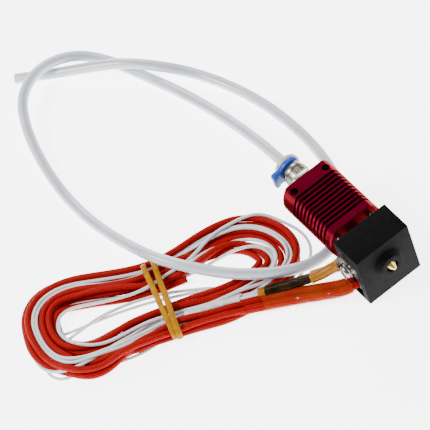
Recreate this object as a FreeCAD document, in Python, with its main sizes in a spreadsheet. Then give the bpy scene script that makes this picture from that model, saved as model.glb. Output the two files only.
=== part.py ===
"""Hotend assembly: finned heatsink, push-in fitting, heater block in a silicone sock, tube and lead hank.

The row frame has +Z up, +Y along the filament axis towards the nozzle and +X towards the side that the
leads leave. The hotend lies on its back, with the sock's back wall on z = 0. Each turned or milled piece
is drawn in the hotend's own frame: its Z is the filament axis, z = 0 is the heatsink's fitting end, -Y is
the front of the heatsink, and the placement of the finished piece lays that frame down.
"""
import FreeCAD, Part
import math
import os
import re
import Sketcher

V = FreeCAD.Vector

# ---------------------------------------------------------------------------------------------------
# Driving dimensions, in millimetres
# ---------------------------------------------------------------------------------------------------
SIZES = {
    "sink_radius": 11.0,            # heatsink: round bar with two milled flats
    "sink_depth": 15.0,             # across the flats
    "sink_length": 27.5,
    "core_radius": 5.6,             # left inside the cooling slots
    "slot_width": 0.95,
    "slot_pitch": 1.9,
    "slot_start": 6.6,              # centre of the first slot
    "slot_count": 10,
    "mount_spacing": 14.0,          # two M3 holes that fasten the hotend
    "mount_inset": 3.65,
    "mount_radius": 1.45,
    "liner_radius": 2.0,            # 4 mm tube with a 2 mm bore
    "filament_radius": 1.0,
    "running_gap": 0.05,            # radial clearance round the tube and the collet
    "thread_radius": 3.0,           # M6 on the fitting, the heatbreak and the nozzle
    "fitting_thread": 6.0,
    "hex_flats": 10.0,
    "hex_length": 3.2,
    "collar_radius": 4.6,
    "collar_length": 5.8,
    "clip_thickness": 1.7,
    "clip_play": 0.6,
    "clip_radius": 4.9,
    "clip_tab_reach": 9.6,
    "clip_tab_width": 6.4,
    "flange_radius": 4.8,
    "flange_thickness": 1.8,
    "sleeve_radius": 3.0,
    "sleeve_depth": 3.2,            # how far the collet's sleeve reaches into the fitting body
    "grip_radius": 3.4,
    "grip_thickness": 0.5,
    "ring_cord": 0.55,              # radius of the O-ring's section
    "neck_gap": 4.7,                # open space between the heatsink and the sock
    "neck_radius": 2.6,
    "heatbreak_seat": 7.0,          # how far the heatbreak reaches into the heatsink
    "block_width": 19.6,
    "block_depth": 21.7,
    "block_length": 10.9,
    "block_above": 8.6,             # from the filament axis to the block's front face
    "sock_gap": 0.1,
    "sock_wall": 1.2,
    "sock_overhang": 0.6,           # sock's open edge beyond the block
    "boss_radius": 5.8,
    "boss_height": 2.8,
    "boss_hole": 2.35,
    "boss_wall": 1.3,
    "window_top": 2.7,              # in front of the filament axis
    "window_length": 9.7,           # from the sock's open edge towards the nozzle
    "nozzle_thread": 7.5,
    "nozzle_hex": 7.0,
    "nozzle_hex_length": 2.6,
    "nozzle_reach": 5.6,            # from the block to the tip
    "cone_radius": 2.2,
    "tip_radius": 0.45,
    "orifice_radius": 0.2,
    "cartridge_radius": 3.0,
    "cartridge_length": 20.0,
    "cartridge_proud": 0.5,
    "cartridge_below": 9.3,         # behind the filament axis
    "cartridge_inset": 4.4,         # from the block's face on the heatsink side
    "recess": 0.4,                  # potted ends of the cartridge and the bead
    "clamp_inset": 2.6,
    "clamp_below": 3.5,
    "clamp_thread": 1.5,
    "clamp_depth": 4.0,
    "clamp_head": 2.6,
    "clamp_head_height": 1.6,
    "washer_radius": 3.2,
    "washer_thickness": 0.6,
    "bead_inset": 6.8,
    "bead_below": 1.4,
    "bead_radius": 1.1,
    "bead_length": 4.0,
    "thermistor_lead": 1.2,         # outside diameter of a white lead
    "tie_offset": 7.0,              # the two long screws that hold the block to the heatsink
    "tie_above": 3.5,
    "tie_radius": 1.25,
    "tie_head": 2.3,
    "tie_head_height": 1.5,
    "tie_grip": 3.0,
    "set_screw": 1.25,
    "set_screw_length": 4.0,
    "grub_edge": 0.45,              # from the heatsink's end to its set screw's hole
    "grub_offset": 5.0,             # cartridge's set screw, from the filament axis
    "key_radius": 0.65,
    "key_depth": 1.2,
    "heater_lead": 2.4,             # outside diameter of a braided heater lead
    "heater_sleeve": 3.3,
    "film": 0.25,                   # thickness of the amber film wraps
    "hank_height": 7.0,
    "lobe_height": 4.8,
    "band_width": 1.8,
    "band_thickness": 0.8,
}

doc = FreeCAD.newDocument("Hotend")
sheet = doc.addObject("Spreadsheet::Sheet", "Sizes")
for row, (name, value) in enumerate(SIZES.items(), start=1):
    sheet.set("A%d" % row, name)
    sheet.set("B%d" % row, str(value))
    sheet.setAlias("B%d" % row, name)
doc.recompute()

# Places along the hotend's own axis, as formulas on the sheet
FLANGE_INNER = "-(hex_length + collar_length + clip_play + clip_thickness)"
FITTING_END = "-(hex_length + collar_length + clip_play + clip_thickness + flange_thickness)"
COLLAR_END = "-(hex_length + collar_length)"
SOCK_START = "(sink_length + neck_gap)"
BLOCK_START = "(sink_length + neck_gap + sock_overhang)"
BLOCK_END = "(sink_length + neck_gap + sock_overhang + block_length)"
SOCK_END = "(sink_length + neck_gap + sock_overhang + block_length + sock_gap + sock_wall)"
BOSS_END = "(sink_length + neck_gap + sock_overhang + block_length + sock_gap + sock_wall + boss_height)"
NOZZLE_BACK = "(sink_length + neck_gap + sock_overhang + block_length - nozzle_thread)"
TIP = "(sink_length + neck_gap + sock_overhang + block_length + nozzle_reach)"
GRUB_STATION = "(sink_length - set_screw - grub_edge)"
CARTRIDGE_STATION = "(sink_length + neck_gap + sock_overhang + cartridge_inset)"
CLAMP_STATION = "(sink_length + neck_gap + sock_overhang + clamp_inset)"
BEAD_STATION = "(sink_length + neck_gap + sock_overhang + bead_inset)"
BLOCK_SIDE = "(block_width / 2)"
BLOCK_FRONT = "(-block_above)"
BLOCK_BACK = "(block_depth - block_above)"
SHELL = "(sock_gap + sock_wall)"
CLAMP_SEAT = "(block_width / 2 + thermistor_lead)"
CLAMP_END = "(block_width / 2 + thermistor_lead + washer_thickness + clamp_head_height)"

# Where the hotend's frame lies in the row frame
AXIS_X = "((block_width / 2 + sock_gap + sock_wall) - %s) / 2" % CLAMP_END
AXIS_Y = "-(%s + %s) / 2" % (TIP, FITTING_END)
AXIS_Z = "(%s + %s)" % (BLOCK_BACK, SHELL)


def formula(text):
    """A formula in plain size names, as an expression on the sheet."""
    return re.sub(r"[a-z_]+", lambda word: "Sizes." + word.group(0) if word.group(0) in SIZES else word.group(0), text)


def number(text):
    """The value of a formula in plain size names, worked out on the sheet."""
    return float(sheet.evalExpression(formula(text)))


nodes = []


def bind(thing, values):
    for path, text in values.items():
        thing.setExpression(path, formula(text))


def at(thing, x="0", y="0", z="0"):
    """Place a primitive in the hotend's frame."""
    bind(thing, {"Placement.Base.x": x, "Placement.Base.y": y, "Placement.Base.z": z})
    return thing


def rod(name, radius, start, end, x="0", y="0"):
    """A round bar along the filament axis."""
    thing = doc.addObject("Part::Cylinder", name)
    bind(thing, {"Radius": radius, "Height": "(%s) - (%s)" % (end, start)})
    return at(thing, x, y, start)


def side_rod(name, radius, start, end, y, z):
    """A round bar along X, from one x to another."""
    thing = doc.addObject("Part::Cylinder", name)
    bind(thing, {"Radius": radius, "Height": "(%s) - (%s)" % (end, start)})
    thing.Placement.Rotation = FreeCAD.Rotation(V(0, 1, 0), 90)
    return at(thing, start, y, z)


def depth_rod(name, radius, start, end, x, z):
    """A round bar along Y, from one y to another."""
    thing = doc.addObject("Part::Cylinder", name)
    bind(thing, {"Radius": radius, "Height": "(%s) - (%s)" % (end, start)})
    thing.Placement.Rotation = FreeCAD.Rotation(V(1, 0, 0), -90)
    return at(thing, x, start, z)


def slab(name, x, y, z):
    """A box from three (low, high) pairs of formulas."""
    thing = doc.addObject("Part::Box", name)
    bind(thing, {"Length": "(%s) - (%s)" % (x[1], x[0]),
                 "Width": "(%s) - (%s)" % (y[1], y[0]),
                 "Height": "(%s) - (%s)" % (z[1], z[0])})
    return at(thing, x[0], y[0], z[0])


def hexagon(name, flats, start, end):
    thing = doc.addObject("Part::Prism", name)
    thing.Polygon = 6
    bind(thing, {"Circumradius": "(%s) / sqrt(3)" % flats, "Height": "(%s) - (%s)" % (end, start)})
    return at(thing, z=start)


def join(name, pieces):
    thing = doc.addObject("Part::MultiFuse", name)
    thing.Shapes = pieces
    thing.Refine = True
    return thing


def cut(name, base, pieces):
    thing = doc.addObject("Part::Cut", name)
    thing.Base = base
    thing.Tool = pieces[0] if len(pieces) == 1 else join(name + "_tools", pieces)
    thing.Refine = True
    return thing


def lay_down(thing, label):
    """Turn a finished piece from the hotend's frame into the row frame and keep it as a node."""
    thing.Placement = FreeCAD.Placement(V(0, 0, 0), FreeCAD.Rotation(V(1, 0, 0), -90))
    bind(thing, {"Placement.Base.x": AXIS_X, "Placement.Base.y": AXIS_Y, "Placement.Base.z": AXIS_Z})
    thing.Label = label
    nodes.append(thing)
    return thing


def origin_plane(body, role):
    return [plane for plane in body.Origin.OriginFeatures if plane.Role == role][0]


def turned(label, profile):
    """A body of revolution round the filament axis, from (radius, station) formulas in order."""
    body = doc.addObject("PartDesign::Body", label + "_body")
    sketch = body.newObject("Sketcher::SketchObject", label + "_profile")
    sketch.AttachmentSupport = [(origin_plane(body, "XZ_Plane"), "")]
    sketch.MapMode = "FlatFace"
    corners = [V(number(r), number(z), 0) for r, z in profile]
    count = len(corners)
    for i in range(count):
        sketch.addGeometry(Part.LineSegment(corners[i], corners[(i + 1) % count]), False)
    for i in range(count):
        sketch.addConstraint(Sketcher.Constraint("Coincident", i, 2, (i + 1) % count, 1))
    for i, (r, z) in enumerate(profile):
        if r == "0":
            sketch.addConstraint(Sketcher.Constraint("PointOnObject", i, 1, -2))
        else:
            index = sketch.addConstraint(Sketcher.Constraint("DistanceX", -1, 1, i, 1, corners[i].x))
            sketch.setExpression("Constraints[%d]" % index, formula(r))
        if z == "0":
            sketch.addConstraint(Sketcher.Constraint("PointOnObject", i, 1, -1))
        else:
            index = sketch.addConstraint(Sketcher.Constraint("DistanceY", -1, 1, i, 1, corners[i].y))
            sketch.setExpression("Constraints[%d]" % index, formula(z))
    turn = body.newObject("PartDesign::Revolution", label + "_turn")
    turn.Profile = sketch
    turn.ReferenceAxis = (sketch, ["V_Axis"])
    turn.Angle = 360
    body.Tip = turn
    doc.recompute()
    return lay_down(body, label)


# ---------------------------------------------------------------------------------------------------
# Heatsink: a bar with flats, ring slots, M3 mounting holes, the bore, and holes for its screws
# ---------------------------------------------------------------------------------------------------
bar = doc.addObject("Part::MultiCommon", "sink_bar")
bar.Shapes = [rod("sink_round", "sink_radius", "0", "sink_length"),
              slab("sink_flats", ("-sink_radius", "sink_radius"), ("-sink_depth / 2", "sink_depth / 2"),
                   ("0", "sink_length"))]
sink_cuts = []
for i in range(int(SIZES["slot_count"])):
    start = "slot_start + %d * slot_pitch - slot_width / 2" % i
    end = "slot_start + %d * slot_pitch + slot_width / 2" % i
    sink_cuts.append(cut("slot_%d" % i, rod("slot_out_%d" % i, "sink_radius + 1", start, end),
                         [rod("slot_core_%d" % i, "core_radius", start, end)]))
for side in ("-", ""):
    sink_cuts.append(depth_rod("mount_hole", "mount_radius", "-sink_depth", "sink_depth",
                               side + "mount_spacing / 2", "mount_inset"))
    sink_cuts.append(rod("tie_hole", "tie_radius", "sink_length - tie_grip", "sink_length",
                         side + "tie_offset", "-tie_above"))
sink_cuts += [
    rod("sink_thread", "thread_radius", "0", "fitting_thread"),
    rod("sink_bore", "liner_radius + running_gap", "0", "sink_length"),
    rod("sink_seat", "thread_radius", "sink_length - heatbreak_seat", "sink_length"),
    depth_rod("sink_grub", "set_screw", "0", "sink_depth", "0", GRUB_STATION),
]
lay_down(cut("sink", bar, sink_cuts), "heatsink")

# ---------------------------------------------------------------------------------------------------
# Push-in fitting: body, O-ring, collet, grip ring and the locking clip
# ---------------------------------------------------------------------------------------------------
SOCKET_END = "(%s + sleeve_depth + grip_thickness + clip_play + 0.3)" % COLLAR_END
RING_END = "(%s + 2 * ring_cord)" % SOCKET_END
body_outside = join("fitting_outside", [
    rod("fitting_collar", "collar_radius", COLLAR_END, "-hex_length"),
    hexagon("fitting_hex", "hex_flats", "-hex_length", "0"),
    rod("fitting_stub", "thread_radius", "0", "fitting_thread"),
])
lay_down(cut("fitting", body_outside, [
    rod("fitting_mouth", "sleeve_radius + running_gap", COLLAR_END, SOCKET_END),
    rod("fitting_socket", "grip_radius + 0.3", COLLAR_END + " + sleeve_depth - 0.3", SOCKET_END),
    rod("fitting_ring_seat", "liner_radius + 2 * ring_cord", SOCKET_END, RING_END),
    rod("fitting_bore", "liner_radius + running_gap", COLLAR_END, "fitting_thread"),
]), "fitting_body")

turned("fitting_o_ring", [
    ("liner_radius", SOCKET_END + " + 0.6 * ring_cord"),
    ("liner_radius + 0.6 * ring_cord", SOCKET_END),
    ("liner_radius + 1.4 * ring_cord", SOCKET_END),
    ("liner_radius + 2 * ring_cord", SOCKET_END + " + 0.6 * ring_cord"),
    ("liner_radius + 2 * ring_cord", SOCKET_END + " + 1.4 * ring_cord"),
    ("liner_radius + 1.4 * ring_cord", RING_END),
    ("liner_radius + 0.6 * ring_cord", RING_END),
    ("liner_radius", SOCKET_END + " + 1.4 * ring_cord"),
])

SLEEVE_END = "(%s + sleeve_depth)" % COLLAR_END
turned("fitting_collet", [
    ("liner_radius + running_gap", FITTING_END),
    ("flange_radius", FITTING_END),
    ("flange_radius", FLANGE_INNER),
    ("sleeve_radius", FLANGE_INNER),
    ("sleeve_radius", SLEEVE_END),
    ("liner_radius + running_gap", SLEEVE_END),
])
turned("fitting_grip_ring", [
    ("liner_radius + running_gap", SLEEVE_END),
    ("grip_radius", SLEEVE_END),
    ("grip_radius", SLEEVE_END + " + grip_thickness"),
    ("liner_radius + running_gap", SLEEVE_END + " + grip_thickness"),
])

CLIP_START = "(%s + 0.02)" % FLANGE_INNER
CLIP_STOP = "(%s + clip_thickness - 0.02)" % FLANGE_INNER
CLIP_BORE = "(sleeve_radius + running_gap)"
clip_outside = join("clip_outside", [
    rod("clip_round", "clip_radius", CLIP_START, CLIP_STOP),
    slab("clip_tab", ("0", "clip_tab_reach"), ("-clip_tab_width / 2", "clip_tab_width / 2"),
         (CLIP_START, CLIP_STOP)),
])
lay_down(cut("clip", clip_outside, [
    rod("clip_bore", CLIP_BORE, CLIP_START, CLIP_STOP),
    slab("clip_mouth", ("-clip_radius - 1", "0"), ("-" + CLIP_BORE, CLIP_BORE), (CLIP_START, CLIP_STOP)),
]), "fitting_clip")

# ---------------------------------------------------------------------------------------------------
# Filament path: liner, heatbreak and nozzle
# ---------------------------------------------------------------------------------------------------
turned("ptfe_liner", [
    ("filament_radius", FITTING_END),
    ("liner_radius", FITTING_END),
    ("liner_radius", NOZZLE_BACK),
    ("filament_radius", NOZZLE_BACK),
])
turned("heatbreak", [
    ("liner_radius + running_gap", "sink_length - heatbreak_seat"),
    ("thread_radius", "sink_length - heatbreak_seat"),
    ("thread_radius", "sink_length"),
    ("neck_radius", "sink_length"),
    ("neck_radius", BLOCK_START),
    ("thread_radius", BLOCK_START),
    ("thread_radius", NOZZLE_BACK),
    ("liner_radius + running_gap", NOZZLE_BACK),
])
nozzle_cone = doc.addObject("Part::Cone", "nozzle_cone")
bind(nozzle_cone, {"Radius1": "cone_radius", "Radius2": "tip_radius", "Height": "nozzle_reach - nozzle_hex_length"})
at(nozzle_cone, z=BLOCK_END + " + nozzle_hex_length")
nozzle_outside = join("nozzle_outside", [
    rod("nozzle_stub", "thread_radius", NOZZLE_BACK, BLOCK_END),
    hexagon("nozzle_spanner", "nozzle_hex", BLOCK_END, BLOCK_END + " + nozzle_hex_length"),
    nozzle_cone,
])
lay_down(cut("nozzle_solid", nozzle_outside, [
    rod("nozzle_bore", "filament_radius", NOZZLE_BACK, TIP + " - 1.8"),
    rod("nozzle_orifice", "orifice_radius", TIP + " - 1.8", TIP),
]), "nozzle")

# ---------------------------------------------------------------------------------------------------
# Heater block and what is fastened in it
# ---------------------------------------------------------------------------------------------------
block_solid = slab("block_solid", ("-" + BLOCK_SIDE, BLOCK_SIDE), (BLOCK_FRONT, BLOCK_BACK),
                   (BLOCK_START, BLOCK_END))
block_cuts = [
    rod("block_thread", "thread_radius", BLOCK_START, BLOCK_END),
    side_rod("block_cartridge", "cartridge_radius", "-" + BLOCK_SIDE, BLOCK_SIDE,
             "cartridge_below", CARTRIDGE_STATION),
    side_rod("block_clamp", "clamp_thread", BLOCK_SIDE + " - clamp_depth", BLOCK_SIDE,
             "clamp_below", CLAMP_STATION),
    side_rod("block_bead", "bead_radius", BLOCK_SIDE + " - bead_length", BLOCK_SIDE,
             "bead_below", BEAD_STATION),
    rod("block_grub", "set_screw", CARTRIDGE_STATION, BLOCK_END, "grub_offset", "cartridge_below"),
]
for side in ("-", ""):
    block_cuts.append(rod("block_tie", "tie_radius", BLOCK_START, BLOCK_END, side + "tie_offset", "-tie_above"))
    block_cuts.append(rod("block_tie_head", "tie_head", BLOCK_END + " - tie_head_height", BLOCK_END,
                          side + "tie_offset", "-tie_above"))
lay_down(cut("block", block_solid, block_cuts), "heater_block")

lay_down(cut("cartridge", side_rod("cartridge_can", "cartridge_radius",
                                   BLOCK_SIDE + " + cartridge_proud - cartridge_length",
                                   BLOCK_SIDE + " + cartridge_proud", "cartridge_below", CARTRIDGE_STATION),
             [side_rod("cartridge_recess", "cartridge_radius - 0.4", BLOCK_SIDE + " + cartridge_proud - recess",
                       BLOCK_SIDE + " + cartridge_proud", "cartridge_below", CARTRIDGE_STATION)]),
         "heater_cartridge")

GRUB_START = CARTRIDGE_STATION + " + cartridge_radius"
lay_down(cut("cartridge_grub", rod("cartridge_grub_body", "set_screw", GRUB_START, BLOCK_END,
                                   "grub_offset", "cartridge_below"),
             [rod("cartridge_grub_key", "key_radius", BLOCK_END + " - key_depth", BLOCK_END,
                  "grub_offset", "cartridge_below")]), "cartridge_set_screw")
lay_down(cut("heatbreak_grub", depth_rod("heatbreak_grub_body", "set_screw", "thread_radius",
                                         "thread_radius + set_screw_length", "0", GRUB_STATION),
             [depth_rod("heatbreak_grub_key", "key_radius", "thread_radius + set_screw_length - key_depth",
                        "thread_radius + set_screw_length", "0", GRUB_STATION)]), "heatbreak_set_screw")

ties = []
for side in ("-", ""):
    ties.append(rod("tie_shank", "tie_radius", "sink_length - tie_grip", BLOCK_END,
                    side + "tie_offset", "-tie_above"))
    ties.append(rod("tie_cap", "tie_head", BLOCK_END + " - tie_head_height", BLOCK_END,
                    side + "tie_offset", "-tie_above"))
lay_down(join("ties", ties), "block_screws")

lay_down(cut("bead", side_rod("bead_glass", "bead_radius", BLOCK_SIDE + " - bead_length", BLOCK_SIDE,
                              "bead_below", BEAD_STATION),
             [side_rod("bead_recess", "bead_radius / 2", BLOCK_SIDE + " - recess", BLOCK_SIDE,
                       "bead_below", BEAD_STATION)]), "thermistor_bead")
lay_down(join("clamp", [
    side_rod("clamp_shank", "clamp_thread", BLOCK_SIDE + " - clamp_depth", CLAMP_SEAT + " + washer_thickness",
             "clamp_below", CLAMP_STATION),
    side_rod("clamp_cap", "clamp_head", CLAMP_SEAT + " + washer_thickness", CLAMP_END,
             "clamp_below", CLAMP_STATION),
]), "thermistor_clamp_screw")
lay_down(cut("washer", side_rod("washer_disc", "washer_radius", CLAMP_SEAT, CLAMP_SEAT + " + washer_thickness",
                                "clamp_below", CLAMP_STATION),
             [side_rod("washer_hole", "clamp_thread", CLAMP_SEAT, CLAMP_SEAT + " + washer_thickness",
                       "clamp_below", CLAMP_STATION)]), "thermistor_clamp_washer")

# ---------------------------------------------------------------------------------------------------
# Silicone sock: five walls round the block, a window for the leads and a boss round the nozzle
# ---------------------------------------------------------------------------------------------------
sock_outside = join("sock_outside", [
    slab("sock_box", ("-%s - %s" % (BLOCK_SIDE, SHELL), "%s + %s" % (BLOCK_SIDE, SHELL)),
         ("%s - %s" % (BLOCK_FRONT, SHELL), "%s + %s" % (BLOCK_BACK, SHELL)), (SOCK_START, SOCK_END)),
    rod("sock_boss", "boss_radius", SOCK_END, BOSS_END),
])
lay_down(cut("sock", sock_outside, [
    slab("sock_room", ("-%s - sock_gap" % BLOCK_SIDE, BLOCK_SIDE + " + sock_gap"),
         (BLOCK_FRONT + " - sock_gap", BLOCK_BACK + " + sock_gap"), (SOCK_START, BLOCK_END + " + sock_gap")),
    rod("sock_nozzle_room", "nozzle_hex / sqrt(3) + 0.3", BLOCK_END, BOSS_END + " - boss_wall"),
    rod("sock_hole", "boss_hole", BLOCK_END, BOSS_END),
    slab("sock_window", (BLOCK_SIDE, BLOCK_SIDE + " + 2 * sock_wall"), ("-window_top", BLOCK_BACK + " + sock_gap"),
         (SOCK_START, SOCK_START + " + window_length")),
]), "silicone_sock")

# ---------------------------------------------------------------------------------------------------
# Cords: routes in the row frame. Straight runs joined by tangent arcs
# ---------------------------------------------------------------------------------------------------
RUN_SHARE = 0.45                    # of the shorter run, taken by the arc at each end of a run
doc.recompute()
axis_x = number(AXIS_X)
axis_y = number(AXIS_Y)
axis_z = number(AXIS_Z)

TUBE_ROUTE = [
    (axis_x, axis_y + number(FITTING_END), axis_z),
    (-1.0, -43.4, 13.6), (-0.6, -58.0, 10.4), (0.4, -75.0, 6.3), (3.2, -93.8, 3.1), (8.0, -111.0, 2.1),
    (13.4, -126.6, 3.0), (22.4, -136.0, 6.2), (35.7, -138.3, 8.2), (47.6, -132.0, 8.0),
    (53.9, -120.1, 5.8), (57.7, -106.1, 3.2), (59.8, -91.2, 2.2), (60.2, -76.2, 2.8), (59.2, -61.2, 5.4),
    (57.2, -46.5, 9.2), (53.6, -34.0, 10.5), (47.2, -23.3, 9.9), (38.8, -12.6, 8.2), (28.5, -3.6, 6.8),
    (17.4, 1.6, 4.6), (5.6, 1.0, 2.6), (-5.4, -6.0, 2.2), (-12.8, -18.5, 2.1), (-16.2, -33.5, 2.1),
    (-17.0, -50.5, 2.1), (-15.4, -68.0, 2.1), (-11.0, -85.0, 2.2), (-4.4, -99.0, 3.4), (4.0, -108.6, 6.6),
    (11.75, -117.1, 7.7), (20.7, -126.5, 5.2), (31.5, -136.9, 2.2), (42.5, -145.5, 2.1),
]
lead_x = axis_x + number(BLOCK_SIDE + " + cartridge_proud")
lead_y = axis_y + number(CARTRIDGE_STATION)
lead_z = axis_z - number("cartridge_below")
HEATER_ROUTES = [
    [(lead_x, lead_y + 1.35, lead_z), (13.6, 20.2, 4.9), (21.6, 13.9, 3.9), (31.6, 6.2, 3.0), (43.0, -1.4, 2.6)],
    [(lead_x, lead_y - 1.35, lead_z), (12.2, 17.3, 4.9), (19.4, 11.3, 3.9), (29.4, 3.6, 3.0), (40.8, -4.0, 2.6)],
]
clamp_x = axis_x + number(BLOCK_SIDE) + SIZES["thermistor_lead"] / 2
clamp_y = axis_y + number(CLAMP_STATION) - SIZES["washer_radius"]
clamp_z = axis_z - number("clamp_below")
THERMISTOR_ROUTES = [
    [(clamp_x, clamp_y, clamp_z + 1.0), (10.6, 12.0, 10.6), (16.4, 8.4, 8.4), (23.0, 4.6, 6.4),
     (32.4, -0.3, 5.2), (41.4, -6.2, 4.4)],
    [(clamp_x, clamp_y, clamp_z - 1.0), (10.2, 11.4, 9.0), (15.6, 7.0, 7.2), (22.2, 3.0, 5.6),
     (31.6, -1.8, 4.6), (40.4, -7.6, 4.0)],
]


def route_edges(points, name):
    """Edges of a route: its runs, with an arc at each inner point as large as its two runs allow."""
    points = [V(*point) for point in points]
    edges = []
    start = points[0]
    radii = []
    for before, corner, after in zip(points, points[1:], points[2:]):
        back = (before - corner).normalize()
        ahead = (after - corner).normalize()
        turn = math.pi - back.getAngle(ahead)
        reach = RUN_SHARE * min((before - corner).Length, (after - corner).Length)
        radius = reach / math.tan(turn / 2)
        radii.append(round(radius, 1))
        first = corner + back * reach
        last = corner + ahead * reach
        inward = (back + ahead).normalize()
        middle = corner + inward * (radius / math.cos(turn / 2) - radius)
        edges.append(Part.LineSegment(start, first).toShape())
        edges.append(Part.Arc(first, middle, last).toShape())
        start = last
    edges.append(Part.LineSegment(start, points[-1]).toShape())
    print("route %s: length %.1f, radii %s" % (name, sum(edge.Length for edge in edges), radii))
    return edges


def section(edges, radius, spread):
    """A round, or two half-rounds a spread apart, square to the start of a path."""
    first = edges[0]
    centre = first.valueAt(first.FirstParameter)
    heading = first.tangentAt(first.FirstParameter)
    if not spread:
        return Part.Wire([Part.Circle(centre, heading, radius).toShape()])
    side = heading.cross(V(0, 0, 1)).normalize()
    up = side.cross(heading).normalize()
    right = centre + side * spread / 2
    left = centre - side * spread / 2
    return Part.Wire([
        Part.LineSegment(left + up * radius, right + up * radius).toShape(),
        Part.Arc(right + up * radius, right + side * radius, right - up * radius).toShape(),
        Part.LineSegment(right - up * radius, left - up * radius).toShape(),
        Part.Arc(left - up * radius, left - side * radius, left + up * radius).toShape(),
    ])


def pipe(edges, radius, spread=0):
    path = Part.Wire(edges)
    solid = path.makePipeShell([section(edges, radius, spread)], True, True)
    expected = (math.pi * radius ** 2 + 2 * radius * spread) * path.Length
    if abs(solid.Volume - expected) > 0.03 * expected:
        raise ValueError("a pipe's volume is %.1f, not %.1f" % (solid.Volume, expected))
    return solid


def keep_shape(label, shape, placement=FreeCAD.Placement()):
    thing = doc.addObject("Part::Feature", label + "_solid")
    thing.Shape = shape
    thing.Placement = placement
    thing.Label = label
    nodes.append(thing)
    return thing


tube_edges = route_edges(TUBE_ROUTE, "bowden_tube")
keep_shape("bowden_tube", pipe(tube_edges, SIZES["liner_radius"]).cut(pipe(tube_edges, SIZES["filament_radius"])))

for i, route in enumerate(HEATER_ROUTES, start=1):
    edges = route_edges(route, "heater_lead_%d" % i)
    keep_shape("heater_lead_%d" % i, pipe(edges, SIZES["heater_lead"] / 2))
    covered = edges[1:]
    keep_shape("heater_sleeve_%d" % i, pipe(covered, SIZES["heater_sleeve"] / 2).cut(
        pipe(covered, SIZES["heater_lead"] / 2 + 0.02)))

for i, route in enumerate(THERMISTOR_ROUTES, start=1):
    edges = route_edges(route, "thermistor_lead_%d" % i)
    keep_shape("thermistor_lead_%d" % i, pipe(edges, SIZES["thermistor_lead"] / 2 - 0.05))


def between(routes, first, last):
    """The points halfway between two leads, from one to another."""
    pairs = list(zip(*routes))[first:last]
    return [tuple((a + b) / 2 for a, b in zip(*pair)) for pair in pairs]


# The films and the shrink tube each hold two leads, side by side
LEAD_SPREAD = 3.4
heater_mid = route_edges(between(HEATER_ROUTES, 1, 4), "heater_film")
keep_shape("heater_film", pipe(heater_mid, SIZES["heater_sleeve"] / 2 + SIZES["film"], LEAD_SPREAD))
film_mid = route_edges(between(THERMISTOR_ROUTES, 0, 4), "thermistor_film")
keep_shape("thermistor_film", pipe(film_mid, SIZES["thermistor_lead"] + SIZES["film"]))
shrink_mid = route_edges(between(THERMISTOR_ROUTES, 3, 6), "thermistor_shrink")
keep_shape("thermistor_shrink", pipe(shrink_mid[:3], SIZES["thermistor_lead"] + SIZES["film"]))

# ---------------------------------------------------------------------------------------------------
# Hank: the leads' slack, wound in long loops with two lobes, and its two rubber bands
# ---------------------------------------------------------------------------------------------------
HANK_OUTLINE = [                    # start, middle of the arc, and so on round
    (34.8, -38.6), (14.5, -28.0), (9.9, -12.0), (15.9, -1.1), (27.0, 2.0), (46.0, -0.6), (64.0, -6.0),
    (84.0, -15.2), (98.0, -18.5), (110.5, -35.0), (105.0, -55.0), (94.0, -62.0), (82.0, -59.5),
    (66.0, -49.5), (52.0, -41.5), (44.0, -39.8),
]
LOBE_EDGE = 50.0                    # the lower lobe reaches from here towards the heatsink


def hank_solid():
    corners = [V(x, y, 0) for x, y in HANK_OUTLINE]
    corners.append(corners[0])
    arcs = [Part.Arc(*corners[i:i + 3]).toShape() for i in range(0, len(corners) - 1, 2)]
    face = Part.Face(Part.Wire(arcs))
    tall = face.extrude(V(0, 0, SIZES["hank_height"]))
    step = Part.makeBox(LOBE_EDGE, 100, SIZES["hank_height"], V(0, -80, SIZES["lobe_height"]))
    return tall.cut(step)


keep_shape("lead_hank", hank_solid())

BAND_LENGTH = 36.0
BAND_TURN = -20.2                   # from the Y axis, in degrees
for i, (x, y) in enumerate([(57.6, -23.2), (61.2, -24.6)], start=1):
    height = SIZES["hank_height"] + SIZES["band_thickness"]
    half = BAND_LENGTH / 2 + SIZES["band_thickness"]
    outer = Part.makeBox(SIZES["band_width"], 2 * half, height, V(-SIZES["band_width"] / 2, -half, 0))
    inner = Part.makeBox(2 * SIZES["band_width"], BAND_LENGTH, height - 2 * SIZES["band_thickness"],
                         V(-SIZES["band_width"], -BAND_LENGTH / 2, SIZES["band_thickness"]))
    place = FreeCAD.Placement(V(x, y, 0), FreeCAD.Rotation(V(0, 0, 1), BAND_TURN))
    keep_shape("rubber_band_%d" % i, outer.cut(inner), place)

# ---------------------------------------------------------------------------------------------------
# Check and write
# ---------------------------------------------------------------------------------------------------
doc.recompute()
for thing in doc.Objects:
    for word in ("Invalid", "Error"):
        if word in thing.State:
            raise ValueError("%s is %s" % (thing.Name, word))
os.makedirs("parts", exist_ok=True)
for node in nodes:
    shape = node.Shape
    if shape.isNull() or not shape.isValid():
        raise ValueError("%s has no valid shape" % node.Label)
for node in nodes:
    node.Shape.exportStep("parts/%s.step" % node.Label)
print("%d nodes" % len(nodes))
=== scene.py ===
# %% [markdown]
# # A hotend assembly, laid down with its tube and its leads
# A hotend melts plastic wire. A finned aluminium heatsink keeps the top cold, a thin steel neck
# stops the heat, and a hot block carries the nozzle, a heater cartridge and a small temperature
# sensor. The CAD model is loaded first and stays fixed, and the pieces below are made in its frame;
# the clamp screw and its washer are placed by their boxes.
# %% Load the frame and the tools
import math
import bmesh
import bpy
import numpy as np
from mathutils import Matrix, Vector, noise


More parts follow.
